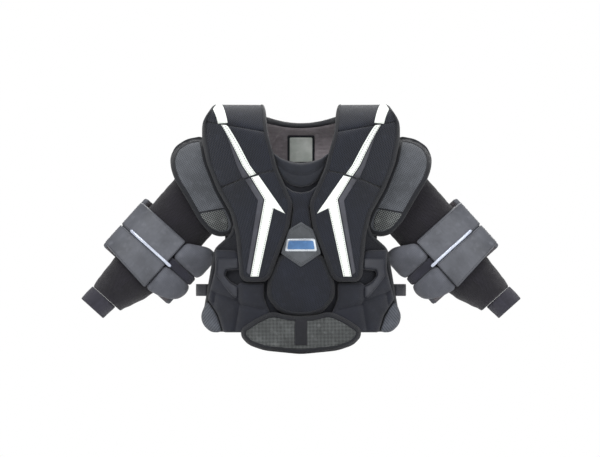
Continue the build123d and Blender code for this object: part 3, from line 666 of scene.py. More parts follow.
def leather(name, colour, dark, pebble=1.1 * MM, rough=0.5, light=None, bump=0.15 * MM, coat=0.0,
            specular=0.4, depth=0.5, metal=0.0, spread=0.16, sheen=0.0):
    """Coated leather, vinyl, satin or smooth plastic, with painted shade in its low creases."""
    tree, cloth, done = finish(name, colour, dark, light, rough, bump=bump, coat=coat, specular=specular,
                               metal=metal, spread=spread, sheen=sheen)
    skin = use_group(tree, cloth, grain_tree, Pebble=pebble)
    # painted shade: the dark colour lies where the crease noise, and so the surface, is low
    low = maths(tree, "MULTIPLY", maths(tree, "SUBTRACT", 0.9, skin["Crease"], clamp=True), depth)
    return done(low, skin["Height"])


def dress(piece, *materials):
    """Give a piece its cloths: the face first, then the lining."""
    for material in materials:
        piece.data.materials.append(material)
    return piece


vest_cloth = mesh_cloth("black vest mesh", BLACK_MESH, (12, 13, 17), 2.6 * MM, 0.55)
black_tape = ribbed_cloth("black binding tape", (24, 26, 32), (12, 13, 17), 1.3 * MM, depth=0.6, rough=0.7,
                          sheen=0.1, specular=0.35)
black_thread = leather("black thread", (20, 21, 26), (12, 12, 15), 0.6 * MM, rough=0.6)


def mm(points):
    """Numbers written in millimetres, in metres."""
    return np.asarray(points, float) * MM


def seam(points, lift, side=1):
    """A sewn line drawn in the front view in millimetres, on the layer at lift."""
    return spaced(hung(mm(points) * (side, 1), lift), 3 * MM)


def chest_pad(name, outline, lift, tall, corner=6 * MM, spacing=4 * MM, seams=(), **form):
    """A pad cut to a front-view outline in metres and laid on the layer at lift, with its edge and face."""
    edge = closed_line(hung(outline, lift + tall), corner)
    face = padded_face(edge, lift, tall, seams=seams, **form)
    return pad(name, edge, on_trunk, lift, face, spacing, seams=seams), edge, face


def laid_on(name, plan, place, under, tall, corner=0, spacing=4 * MM, rim=1.2 * MM):
    """A thin piece laid on the face of a pad and following it, with its edge and face."""
    edge = closed_line(plan, corner)

    def base(points):
        return under(points) + 0.15 * MM
    face = padded_face(edge, base, tall, rim=rim, low=0.5, pucker=0, sag=0)
    return pad(name, edge, place, base, face, spacing, (0.6 * MM, 1.6 * MM), bulge=0.2 * MM,
               walls=2), edge, face


vest_plan = hung(mm(both_sides(VEST)), VEST_T)
vest_plan[vest_plan[:, 1] < MM, 1] = RIDGE_Y + MM
vest_edge = closed_line(vest_plan, 10 * MM, 5 * MM)
vest_face = padded_face(vest_edge, 0.0, VEST_T, rim=5 * MM, low=0.7, sag=0.3 * MM)
sewn(dress(pad("vest_front", vest_edge, on_trunk, 0.0, vest_face, 6 * MM), vest_cloth, vest_cloth),
     "torso", "vest_mesh", ["front_vest"])
sewn(dress(tape("vest_binding", vest_edge, on_trunk, 0.0, vest_face, 5 * MM), black_tape), "torso", "binding")


# ---- back ----
# The back panel, foam in the same mesh with sewn channels, cut round the neck and bound with black tape.
# A thicker foam strip is sewn down its middle, over the spine.
BACK = [(0, -59.6), (20, -58), (40, -53), (60, -42), (70, -27), (138, -27), (150, -62), (150, -359),
        (0, -359)]
BACK_SEAMS = [[(62, -95), (66, -352)], [(68, -235), (145, -215)]]
SPINE = [(-48, -155), (48, -155), (48, -329), (-48, -329)]
SPINE_T = 14 * MM
ON_VEST = VEST_T + 0.3 * MM

back_edge = closed_line(mm(both_sides(BACK)), 8 * MM, 5 * MM)
back_seams = [spaced(mm(s) * (side, 1), 3 * MM) for s in BACK_SEAMS for side in (1, -1)]
back_face = padded_face(back_edge, 0.0, VEST_T, rim=6 * MM, low=0.65, seams=back_seams)
sewn(dress(pad("back_foam", back_edge, on_trunk, 0.0, back_face, 6 * MM, seams=back_seams), vest_cloth,
           vest_cloth), "torso", "vest_mesh", ["back_panel"])
sewn(dress(tape("back_binding", back_edge, on_trunk, 0.0, back_face, 7 * MM, 1.5 * MM), black_tape),
     "torso", "binding")
spine_edge = closed_line(mm(SPINE), 12 * MM)
spine_seams = [spaced(mm([(-42, s), (42, s)]), 3 * MM) for s in (-198, -242, -286)]
spine_face = padded_face(spine_edge, ON_VEST, SPINE_T, rim=12 * MM, low=0.35, seams=spine_seams,
                         groove=5 * MM)
sewn(dress(pad("spine_strip", spine_edge, on_trunk, ON_VEST, spine_face, seams=spine_seams), vest_cloth,
           vest_cloth), "torso", "vest_mesh", ["spine_pad"])
sewn(dress(tape("spine_binding", spine_edge, on_trunk, ON_VEST, spine_face), black_tape), "torso", "binding")


# ---- lining and label ----
# Taupe satin over the wearer's side of the back, gathered into shallow level tucks, with two slanting seams.
# A bare pale label in a black frame is sewn on it below the neck.
TAUPE = (132, 125, 129)
LINING_T = 2.5 * MM
LINING = [(0, -61), (20, -59.5), (40, -54.5), (60, -43.5), (68, -32), (122, -32), (124, -60), (124, -335),
          (0, -335)]
LABEL = [(-27, -79), (27, -79), (27, -140), (-27, -140)]
LABEL_FACE = [(-22.5, -84), (22.5, -84), (22.5, -137), (-22.5, -137)]

satin = leather("taupe satin lining", TAUPE, (96, 90, 95), 0.8 * MM, rough=0.42, sheen=0.3, specular=0.45)
label_frame = ribbed_cloth("black label frame", (26, 28, 36), (14, 15, 20), 1.2 * MM)
label_cloth = ribbed_cloth("pale label", (203, 211, 203), (186, 194, 188), 0.8 * MM, depth=0.3, rough=0.55)
lining_edge = closed_line(mm(both_sides(LINING)), 5 * MM, 4 * MM)
lining_seams = [spaced(mm([(33, -60), (60, -108)]) * (side, 1), 3 * MM) for side in (1, -1)]


def lining_face(points):
    """Lift of the satin: level tucks that fade out under the label and at the edge."""
    gap = nearest(points, lining_edge)[0]
    deep = LINING_T * (0.5 + 0.5 * np.clip(gap / (4 * MM), 0, 1))
    drift = 8 * MM * rumple(points, 60 * MM, 3.0) + 2.5 * MM * rumple(points, 17 * MM, 5.0)
    tuck = np.abs(np.sin((points[:, 1] + drift) * pi / (10 * MM))) ** 0.5 - 1
    clear = np.clip(np.maximum(np.abs(points[:, 0]) - 29 * MM, np.abs(points[:, 1] + 110 * MM) - 33 * MM)
                    / (6 * MM), 0, 1)
    deep = deep + 1.5 * MM * clear * np.clip(gap / (8 * MM), 0, 1) * (tuck + 0.8)
    for line in lining_seams:
        deep = deep - 1.2 * MM * np.exp(-(nearest(points, line, False)[0] / (2 * MM)) ** 2)
    return -0.3 * MM - deep


sewn(dress(pad("satin_lining", lining_edge, on_trunk, -0.3 * MM, lining_face, 3 * MM, seams=lining_seams),
           satin, satin), "torso", "lining", ["back_lining"])
label_edge = closed_line(mm(LABEL), 3 * MM)
label_lift = padded_face(label_edge, -3.1 * MM, -1.2 * MM, rim=1.5 * MM, pucker=0, sag=0)
sewn(dress(pad("label_frame", label_edge, on_trunk, -3.1 * MM, label_lift, rows=(0.8 * MM,),
               bulge=0.1 * MM), label_frame, label_frame), "torso", "label", ["neck_label"])
face_edge = closed_line(mm(LABEL_FACE), 2 * MM)
face_lift = padded_face(face_edge, -4.35 * MM, -0.6 * MM, rim=1 * MM, pucker=0, sag=0)
sewn(dress(pad("label_face", face_edge, on_trunk, -4.35 * MM, face_lift, rows=(0.8 * MM,), bulge=0.1 * MM),
           label_cloth, label_cloth), "torso", "label", ())


# ---- neck collar ----
# Black ribbed knit along the front of the neck, in two rolled bands with a seam between them.
COLLAR = [(0, -82), (20, -79.4), (40, -71.2), (56, -59), (45, -93), (35, -112), (20, -123.5), (0, -128)]
COLLAR_SEAM = [(-50, -77), (-36, -93), (-18, -102.5), (0, -105), (18, -102.5), (36, -93), (50, -77)]

knit = ribbed_cloth("black collar knit", (30, 33, 41), (14, 15, 20), 2.2 * MM, turn=0.0, rough=0.7, sheen=0.3)
collar_seams = [seam(COLLAR_SEAM, ON_VEST)]
collar, _, _ = chest_pad("collar_bands", cut_to(both_sides(COLLAR), "neck_collar"), ON_VEST, 6.5 * MM,
                         4 * MM, 3 * MM, collar_seams, rim=5 * MM, low=0.35, groove=4 * MM)
sewn(dress(collar, knit, knit), "torso", "collar_rib", ["neck_collar"])


# ---- chest and abdomen ----
# Between the yokes lies a twill mesh panel, and below it a raised bound pad reaches to the hem.
# A grey leather hexagon with two rows of stitching covers their join and carries a bare badge.
CENTRE_T = 17 * MM
STERNUM = [(0, -129.5), (20, -125.5), (36, -113), (45, -94.5), (16.5, -160), (23.5, -210), (41.5, -254),
           (41.5, -262), (0, -262)]
ABDOMEN = [(0, -262.3), (41.5, -262.3), (60.5, -306), (66, -322), (66, -349), (44, -376), (24, -383.5),
           (0, -386)]
PATCH = [(0, -198), (24, -213), (40, -261), (0, -288)]
EMBLEM = [(28, -232), (32, -256), (-32, -256), (-28, -232)]
EMBLEM_INLAY = [(24.5, -235.5), (27.5, -252.5), (-27.5, -252.5), (-24.5, -235.5)]

twill = mesh_cloth("black twill mesh", (31, 34, 43), (11, 12, 16), 3.6 * MM, 0.52, turn=0.35, sheen=0.2)
grey_leather = leather("grey leather", (70, 73, 77), (50, 52, 56), 1.2 * MM, rough=0.5)
silver = leather("silver badge rim", (196, 202, 210), (150, 156, 166), 2 * MM, rough=0.28, metal=0.6,
                 bump=0.03 * MM)
inlay = leather("badge inlay", (66, 104, 148), (44, 70, 104), 1 * MM, rough=0.4, bump=0.06 * MM, coat=0.3)
sternum, _, _ = chest_pad("sternum_mesh", cut_to(both_sides(STERNUM), "sternum_panel"), ON_VEST, CENTRE_T,
                          4 * MM, rim=6 * MM, low=0.7, sag=0.15 * MM)
sewn(dress(sternum, twill, twill), "torso", "twill", ["sternum_panel"])
abdomen, abdomen_edge, abdomen_face = chest_pad("abdomen_mesh", cut_to(both_sides(ABDOMEN), "abdomen_pad"),
                                                ON_VEST, CENTRE_T, 13 * MM, rim=9 * MM, low=0.65,
                                                sag=0.15 * MM)
sewn(dress(abdomen, twill, twill), "torso", "twill", ["abdomen_pad"])
sewn(dress(tape("abdomen_binding", abdomen_edge, on_trunk, ON_VEST, abdomen_face, 6.5 * MM, 1.5 * MM),
           black_tape), "torso", "binding")
hexagon, hexagon_edge, hexagon_face = chest_pad("sternum_hexagon", cut_to(both_sides(PATCH),
                                                                          "sternum_patch"),
                                                ON_VEST + CENTRE_T + 0.3 * MM, 3 * MM, 2 * MM, rim=2 * MM,
                                                low=0.5, sag=0.1 * MM)
sewn(dress(hexagon, grey_leather, grey_leather), "torso", "patch_leather", ["sternum_patch"])
for name, inset in (("outer", 2.6 * MM), ("inner", 5.2 * MM)):
    row = hexagon_edge + inward(hexagon_edge) * inset
    sewn(dress(stitches(f"hexagon_stitches_{name}", row, on_trunk, hexagon_face, closed=True), black_thread),
         "torso", "patch_leather")
badge, _, badge_face = chest_pad("badge_rim", cut_to(EMBLEM, "emblem_plate"), ON_VEST + CENTRE_T + 3.6 * MM,
                                 2.5 * MM, 3 * MM, 3 * MM, rim=1.4 * MM, low=0.4, pucker=0, sag=0)
sewn(dress(badge, silver, silver), "torso", "emblem", ["emblem_plate"])
badge_inlay, _, _ = laid_on("badge_inlay", hung(mm(EMBLEM_INLAY), ON_VEST + CENTRE_T), on_trunk, badge_face,
                            0.7 * MM, 2 * MM)
sewn(dress(badge_inlay, inlay, inlay), "torso", "emblem", ())


# ---- yokes ----
# Three 24 mm foam blocks a side in black twill mesh, parted by sewn folds, the top one going over the shoulder
# to the back. Black tape binds the whole yoke.
YOKE_T = 24 * MM
ON_YOKE = ON_VEST + YOKE_T
OVER_SHOULDER = [(74, -2), (74, -155), (170, -155), (172, -20), (174, 4)]
MIDDLE_BLOCK = [(196, 5.7), (68, -16.3), (48, -94), (100, -104), (166, -132), (188, -74), (196, -28)]
LOWER_BLOCK = [(48, -94.3), (100, -104.3), (166, -132.3), (139, -180), (128, -224), (121, -306),
               (112, -316), (72, -316), (62, -306), (43, -254), (25, -210), (18, -160)]
INNER_SIDE = [(72, -316), (62, -306), (43, -254), (25, -210), (18, -160), (48, -94), (68, -16)]
OUTER_SIDE = [(184, 26), (196, 6), (196, -28), (188, -74), (166, -132), (139, -180), (128, -224),
              (121, -306), (112, -316)]

blocks = {}
for name, node, plan in (
        ("top", "left_shoulder_block", np.vstack([hung(mm([(68, -16)]), ON_YOKE), mm(OVER_SHOULDER),
                                                  hung(mm([(184, 26), (196, 6)]), ON_YOKE)])),
        ("middle", "left_upper_chest_block", hung(cut_to(MIDDLE_BLOCK, "left_upper_chest_block"), ON_YOKE)),
        ("lower", "left_lower_chest_block", hung(cut_to(LOWER_BLOCK, "left_lower_chest_block"), ON_YOKE))):
    edge = closed_line(plan, 7 * MM)
    blocks[name] = padded_face(edge, ON_VEST, YOKE_T, rim=9 * MM, low=0.8, sag=0.5 * MM,
                               seed=len(blocks) * 3.0)
    block = dress(pad(f"left_yoke_{name}", edge, on_trunk, ON_VEST, blocks[name]), twill, twill)
    sewn_pair(block, "torso", "twill", [node])
yoke_edge = closed_line(np.vstack([hung(mm(INNER_SIDE), ON_YOKE), mm(OVER_SHOULDER),
                                   hung(mm(OUTER_SIDE), ON_YOKE)]), 8 * MM)
yoke_face = padded_face(yoke_edge, ON_VEST, YOKE_T, rim=9 * MM, low=0.8, pucker=0, sag=0)
sewn_pair(dress(tape("left_yoke_binding", yoke_edge, on_trunk, ON_VEST, yoke_face, 6.5 * MM, 1.5 * MM),
                black_tape), "torso", "binding")


# ---- stripes ----
# A white vinyl stripe runs down each yoke in three strips and ends in a barbed arrow, sewn along its edges.
# A thin dark grey strip lies along its outer side: grey vinyl, its dark grey partly painted shade of the stripe's
# bevel.
TOP_STRIPE = [(147, 1), (166, 1), (176, 27)]
MIDDLE_STRIPE = [(160, -3), (149, -3), (90, -102), (103, -106)]
LOWER_STRIPE = [(100, -109), (85, -105), (32, -181), (55, -170), (85, -307), (101, -307), (73, -153)]
MIDDLE_PIPING_SHADE = [(150, -22), (105, -107), (116, -111)]
LOWER_PIPING_SHADE = [(102, -110), (75, -153), (103, -304), (109, -298), (86, -155), (112, -113)]
THREAD_LINES = [("middle", [(157.5, -6), (101.5, -104)]), ("middle", [(150.5, -8), (92.5, -101.5)]),
                ("lower", [(97, -110.5), (70.7, -153), (98.6, -305)]), ("lower", [(57, -172), (87.2, -305)])]

white_vinyl = leather("white vinyl", (234, 240, 234), (214, 221, 215), 1.0 * MM, light=(244, 248, 243),
                      rough=0.42, bump=0.06 * MM, depth=0.3)
# dark grey for the strip beside each stripe, partly painted shade of the stripe's raised edge
grey_vinyl_edge_shade = leather("dark grey vinyl", (60, 61, 68), (42, 43, 49), 1.0 * MM, rough=0.5)
strips = {}
for name, plan in (("top", np.vstack([mm([(160, 3)]), hung(mm(TOP_STRIPE), ON_YOKE), mm([(168, 5)])])),
                   ("middle", hung(mm(MIDDLE_STRIPE), ON_YOKE)), ("lower", hung(mm(LOWER_STRIPE), ON_YOKE))):
    strip, _, strips[name] = laid_on(f"left_stripe_{name}", plan, on_trunk, blocks[name], 1.4 * MM)
    sewn_pair(dress(strip, white_vinyl, white_vinyl), "torso", "stripe", ["left_chest_stripe"])
for index, (name, points) in enumerate(THREAD_LINES):
    row = spaced(hung(mm(points), ON_YOKE), 4.2 * MM)
    sewn_pair(dress(stitches(f"left_stripe_stitches_{index}", row, on_trunk, strips[name]), black_thread),
              "torso", "stripe")
# these grey strips stand partly for painted shade beside the stripe's bevel
for name, points in (("middle", MIDDLE_PIPING_SHADE), ("lower", LOWER_PIPING_SHADE)):
    strip, _, _ = laid_on(f"left_piping_{name}", hung(mm(points), ON_YOKE), on_trunk, blocks[name], 1.6 * MM)
    sewn_pair(dress(strip, grey_vinyl_edge_shade, grey_vinyl_edge_shade), "torso", "piping", ["stripe_piping"])


# ---- waist ----
# Quilted side pads in black cloth, each with a curved slot by the yoke faced with smooth webbing, and a grey
# ribbed wing at the lower corner.
WAIST_T, WING_T = 12 * MM, 9 * MM
WAIST = [(130, -256), (172, -254), (171, -294), (186, -352), (165, -384), (155, -418), (60, -418),
         (60, -386), (74, -352), (74, -320), (122, -320), (126, -326), (142, -318), (152, -305),
         (149, -295), (122, -293), (124, -270)]
WAIST_SEAMS = [[(76, -374), (121, -363), (126, -357), (172, -339), (178, -336)], [(124, -364), (132, -414)],
               [(172, -342), (175, -364)], [(126, -332), (126, -354)]]
FACING = [(126, -271), (168, -271), (170, -304), (150, -331), (133, -350), (127, -348), (127, -329),
          (143, -320), (154, -306), (152, -292), (126, -290)]
WING = [(188, -354), (168, -385), (158, -418), (180, -418), (196, -402), (200, -384)]

quilt = ribbed_cloth("black quilted cloth", (32, 34, 42), (18, 19, 25), 1.1 * MM, depth=0.4, rough=0.8)
facing_cloth = leather("black facing webbing", (38, 40, 48), (24, 25, 31), 1.0 * MM, rough=0.4, specular=0.5)
wing_rib = ribbed_cloth("grey ribbed cloth", (84, 88, 96), (46, 48, 55), 4.6 * MM, turn=0.7, depth=0.7,
                        bump=0.8 * MM)
waist_seams = [seam(s, ON_VEST + WAIST_T) for s in WAIST_SEAMS]
waist, _, waist_face = chest_pad("left_waist_quilt", cut_to(WAIST, "left_waist_pad"), ON_VEST, WAIST_T,
                                 4 * MM, 3.5 * MM, waist_seams, rim=6 * MM, low=0.5, groove=5 * MM,
                                 width=4.5 * MM, pucker=0.4 * MM, sag=0.8 * MM)
sewn_pair(dress(waist, quilt, quilt), "torso", "wing_rib", ["left_waist_pad"])
facing, facing_edge, facing_face = laid_on("left_slot_facing", hung(mm(FACING), ON_VEST + WAIST_T),
                                           on_trunk, waist_face, 1.8 * MM, 4 * MM)
sewn_pair(dress(facing, facing_cloth, facing_cloth), "torso", "webbing", ())
facing_row = facing_edge + inward(facing_edge) * 2.2 * MM
sewn_pair(dress(stitches("left_facing_stitches", facing_row, on_trunk, facing_face, closed=True),
                black_thread), "torso", "webbing")
wing, _, _ = chest_pad("left_wing", cut_to(WING, "left_waist_wing"), ON_VEST, WING_T, 9 * MM, rim=7 * MM,
                       low=0.45)
sewn_pair(dress(wing, wing_rib, wing_rib), "torso", "wing_rib", ["left_waist_wing"])


# ---- belly pad ----
# A grey perforated foam pad that hangs from the hem and swings: two slanting seams, thick black binding, and a
# black webbing strap down its middle.
BELLY_T = 15 * MM
ON_WAIST = ON_VEST + WAIST_T + 0.3 * MM
BELLY = [(0, -389), (30, -386.5), (58, -379), (90, -394), (117, -412), (118, -426), (104, -442), (72, -453),
         (0, -460)]

belly_mesh = mesh_cloth("grey perforated mesh", (98, 101, 101), (34, 36, 37), 3.9 * MM, 0.62, turn=0.78,
                        stretch=1.0, bump=0.8 * MM)
strap_web = ribbed_cloth("black strap webbing", (27, 28, 34), (12, 12, 16), 2.4 * MM, turn=pi / 2, rough=0.6)
belly_seams = [seam([(48, -388), (29, -440)], ON_WAIST + BELLY_T, side) for side in (1, -1)]
belly, belly_edge, belly_face = chest_pad("belly_foam", cut_to(both_sides(BELLY), "belly_binding"),
                                          ON_WAIST, BELLY_T, 12 * MM, 3.5 * MM, belly_seams, rim=9 * MM,
                                          low=0.45, groove=4.5 * MM, width=5 * MM)
sewn(dress(belly, belly_mesh, black_tape), "belly", "belly_mesh", ["belly_pad"])
sewn(dress(tape("belly_tape", belly_edge, on_trunk, ON_WAIST, belly_face, 7.5 * MM, 2 * MM), black_tape),
     "belly", "binding", ["belly_binding"])
strap_line = spaced(hung(mm([(0, -393), (0, -444)]), ON_WAIST + BELLY_T), 3 * MM)
sewn(dress(tape("belly_webbing", strap_line, on_trunk, ON_WAIST, belly_face, 25 * MM, 2 * MM, closed=False,
                over=False), strap_web), "belly", "webbing", ["belly_strap"])


# ---- straps ----
# An elastic strap closes each side round the wearer. A webbing tab under each shoulder block carries the webbing
# on the rim of the sleeve.
def webbing(name, line, across, wide, thick):
    """A flat strap along a line in space."""
    line = spaced(line, 4 * MM)
    ahead = np.gradient(line, axis=0)
    across = np.broadcast_to(np.asarray(across, float), line.shape)
    up = np.cross(ahead, across)
    up = up / np.linalg.norm(up, axis=1)[:, None]
    section = [(-0.5, -0.2), (-0.5, 0.2), (-0.46, 0.5), (0, 0.55), (0.46, 0.5), (0.5, 0.2), (0.5, -0.2),
               (0.46, -0.5), (0, -0.5), (-0.46, -0.5)]
    along = np.linspace(0, len(line) * 4 * MM, len(line))
    rings = [line + w * wide * across + t * thick * up for w, t in section]
    uv = [np.column_stack([along, np.full(len(line), w * wide)]) for w, t in section]
    count, sides = len(line), len(section)
    faces = [(s * count + i, s * count + i + 1, (s + 1) % sides * count + i + 1, (s + 1) % sides * count + i)
             for s in range(sides) for i in range(count - 1)]
    faces += [tuple(s * count for s in range(sides)), tuple(s * count + count - 1
                                                            for s in reversed(range(sides)))]
    return mesh_piece(name, np.vstack(rings), faces, np.vstack(uv))


elastic = ribbed_cloth("black elastic", (36, 37, 44), (20, 20, 26), 2.0 * MM, rough=0.55, specular=0.4)
low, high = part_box("left_side_strap")
turn = np.linspace(0, 1, 25)[:, None]
start, end = np.array((low.x + 39 * MM, low.y + 1 * MM, 0)), np.array((low.x + 1 * MM, high.y - 1 * MM, 0))
bow = np.array((high.x * 2 - (start[0] + end[0]) / 2, (start[1] + end[1]) / 2, 0))
side_line = start * (1 - turn) ** 2 + 2 * bow * turn * (1 - turn) + end * turn ** 2 + (0, 0, (low.z + high.z) / 2)
sewn_pair(dress(webbing("left_side_elastic", side_line, (0, 0, 1), high.z - low.z, 2 * MM), elastic),
          "torso", "elastic", ["left_side_strap"])
low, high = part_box("left_shoulder_tab")
tab_line = [((low.x + high.x) / 2, (low.y + high.y) / 2, z) for z in (low.z, (low.z + high.z) / 2, high.z)]
sewn_pair(dress(webbing("left_tab_webbing", tab_line, (0, 1, 0), high.y - low.y, 2 * MM), strap_web),
          "torso", "webbing", ["left_shoulder_tab"])


# ---- sleeves ----
# Padded arm tubes in black ribbed mesh from the armhole to the wrist, split at the elbow, with a knit cuff.
SLEEVE_T, FOREARM_T, CUFF_T = 11, 8, 4
UPPER_SLEEVE = [(32, 65, 37, 0), (160, 65, 36.5, -1), (182, 80, 38.5, -10), (193.7, 80, 38.5, -10)]
FOREARM = [(194.3, 81, 38.5, -10), (215, 76, 38.5, -9), (243, 54, 38, -5), (270, 50, 37.5, -3),
           (300, 44, 35, 2), (324, 36, 31, 6)]
CUFF = [(324.3, 31, 27, 12), (340, 31, 27, 13), (358, 30, 26, 14)]

joints = {joint["name"]: joint for joint in frame["record"]["behaviour"]["joints"]}
shoulder = np.array(joints["left_arm_raise"]["pos_m"], float)
ALONG = (np.array(joints["left_elbow_bend"]["pos_m"], float) - shoulder) * (1, 0, 1)
ALONG = ALONG / np.linalg.norm(ALONG)
ACROSS = np.array((-ALONG[2], 0, ALONG[0]))
FORWARD = np.array((0, -1, 0))


def on_arm(along, across, forward):
    """A place on the left arm, from distances along it, out from the body and forward of its middle."""
    return shoulder + np.outer(along, ALONG) + np.outer(across, ACROSS) + np.outer(forward, FORWARD)


def sleeve(name, stations, thick, fold, around=112, step=3.5 * MM):
    """A padded tube through ovals: distance along the arm, half width, half depth and sideways shift, in mm."""
    stations, thick = mm(stations), thick * MM
    half = thick / 2
    count = int((stations[-1, 0] - stations[0, 0] - thick) / step) + 2
    u = np.linspace(stations[0, 0] + half, stations[-1, 0] - half, count)
    fair = [np.convolve(np.pad(np.interp(u, stations[:, 0], stations[:, i]), 2, "edge"), np.ones(5) / 5,
                        "valid") for i in (1, 2, 3)]
    rows = [(a, 0.0) for a in u]
    rows += [(u[-1] + half * sin(t), half - half * cos(t)) for t in (pi / 4, pi / 2, 3 * pi / 4)]
    rows += [(a, thick) for a in u[::-3]]
    rows += [(u[0] - half * sin(t), half - half * cos(t)) for t in (3 * pi / 4, pi / 2, pi / 4)]
    turn = np.linspace(0, 2 * pi, around, endpoint=False)
    points, uv, passed, last = [], [], 0.0, rows[0]
    for a, inset in rows:
        wide, deep, shift = (np.interp(a, u, f) for f in fair)
        ring = on_arm(np.full(around, a), shift + (wide - inset) * np.sin(turn),
                      (deep - inset) * np.cos(turn))
        if inset < half:
            bump = np.array([noise.noise(Vector(p) * 28) + 0.5 * noise.noise(Vector(p) * 70) for p in ring])
            crease = np.sin(a * 2 * pi / (26 * MM) + 2 * np.sin(turn) + bump * 2) * 0.4
            out = np.outer(np.sin(turn), ACROSS) + np.outer(np.cos(turn), FORWARD)
            ring = ring + out * (fold * (bump + crease - 0.6))[:, None]
        passed += abs(a - last[0]) + abs(inset - last[1])
        last = (a, inset)
        points.append(ring)
        uv.append(np.column_stack([np.full(around, passed), turn * 60 * MM]))
    faces = [(r * around + i, r * around + (i + 1) % around, (r + 1) % len(rows) * around + (i + 1) % around,
              (r + 1) % len(rows) * around + i) for r in range(len(rows)) for i in range(around)]
    piece = mesh_piece(name, np.vstack(points), faces, np.vstack(uv))
    layer, loops = piece.data.uv_layers["cloth"].data, piece.data.loops
    for poly in piece.data.polygons:
        columns = [loops[i].vertex_index % around for i in poly.loop_indices]
        if max(columns) - min(columns) > around / 2:
            for i, column in zip(poly.loop_indices, columns):
                if column < around / 2:
                    layer[i].uv[1] += 2 * pi * 60 * MM
    return piece


sleeve_mesh = mesh_cloth("black sleeve mesh", (31, 29, 36), (14, 12, 16), 3.2 * MM, 0.55, turn=0.0,
                         sheen=0.25)
cuff_knit = ribbed_cloth("dark cuff knit", (52, 51, 60), (28, 27, 34), 2.6 * MM, turn=pi / 2, rough=0.75)
sewn_pair(dress(sleeve("left_arm_sleeve", UPPER_SLEEVE, SLEEVE_T, 0.9 * MM), sleeve_mesh), "left_upper_arm",
          "sleeve_mesh", ["left_upper_sleeve"])
sewn_pair(dress(sleeve("left_lower_sleeve", FOREARM, FOREARM_T, 0.9 * MM), sleeve_mesh), "left_forearm",
          "sleeve_mesh", ["left_forearm_sleeve"])
sewn_pair(dress(sleeve("left_cuff_knit", CUFF, CUFF_T, 0.3 * MM, step=2 * MM), cuff_knit), "left_forearm",
          "cuff_knit", ["left_wrist_cuff"])
low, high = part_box("left_arm_hanger")
arc = np.radians(np.linspace(17, 82, 20))
rim = high.z - shoulder[2]
hanger_line = np.column_stack([shoulder[0] + rim * 0.985 * np.cos(arc), np.full(20, (low.y + high.y) / 2),
                               shoulder[2] + rim * 0.985 * np.sin(arc)])
sewn_pair(dress(webbing("left_hanger_webbing", hanger_line, (0, 1, 0), high.y - low.y, 2 * MM), strap_web),
          "left_upper_arm", "webbing", ["left_arm_hanger"])


# ---- elbow wrap ----
# Grey foam panels go round the elbow and meet at a reflective bar; two rounded lobes and a black pad cover the
# inner side, two bands close it behind, and a stiff black cup guards the point of the elbow.
def around_arm(wide, deep, shift):
    """For an oval round the arm: where a place on it is, an outline's distances round it, and its half length."""
    turns = np.linspace(-pi, pi, 721)
    step = np.hypot(wide * np.cos(turns), deep * np.sin(turns))
    lengths = np.concatenate([[0], np.cumsum((step[1:] + step[:-1]) / 2 * np.diff(turns))])
    lengths = lengths - lengths[360]
    half = lengths[-1]

    def place(u, t, lift):
        turn = np.interp((t + half) % (2 * half) - half, lengths, turns)
        return on_arm(u, shift + (wide + lift) * np.sin(turn), (deep + lift) * np.cos(turn))

    def plan(points):
        u, v = mm(points).T
        share = (v - shift) / wide
        t = np.interp(np.arcsin(np.clip(share, -1, 1)), turns, lengths)
        return np.column_stack([u, t + np.sign(share) * np.clip(np.abs(share) - 1, 0, None) * wide])
    return place, plan, half


WRAP_T = 10 * MM
UPPER_PANEL = [(134, 84), (134, -37), (193.7, -37), (193.7, 84)]
LOWER_PANEL = [(194.3, 84), (194.3, -37), (256, -37), (248, 47), (243, 84)]
UPPER_LOBE = [(136, -40), (112, -84), (112, -118), (174, -118), (174, -40)]
LOWER_LOBE = [(194.3, -40), (194.3, -118), (222, -118), (249, -76), (256, -40)]
CENTRE_PAD = [(175, -40), (175, -116), (193.7, -116), (193.7, -40)]
BAR = [(187.7, -47), (193.7, -47), (193.7, 61), (187.7, 61)]

on_wrap, wrap_plan, wrap_half = around_arm(93 * MM, 50 * MM, -10 * MM)
elbow_leather = leather("grey elbow leather", (80, 82, 88), (60, 62, 68), 1.6 * MM, rough=0.52,
                        bump=0.12 * MM)
lobe_cloth = mesh_cloth("grey lobe cloth", (82, 84, 91), (56, 58, 64), 3.2 * MM, 0.35, turn=0.78,
                        stretch=1.0, rough=0.65, bump=0.3 * MM)
lobe_black = ribbed_cloth("black elbow cloth", (44, 44, 54), (26, 26, 33), 1.4 * MM, depth=0.4)
grey_lining = leather("grey wrap lining", (112, 108, 112), (84, 80, 85), 0.9 * MM, rough=0.7)
reflective = leather("reflective bar", (190, 196, 212), (160, 168, 190), 2 * MM, rough=0.25, metal=0.35,
                     bump=0.02 * MM)
hard_plastic = leather("black elbow plastic", (30, 31, 36), (20, 21, 25), 1.5 * MM, rough=0.38,
                       bump=0.03 * MM, specular=0.5)
panel_faces = {}
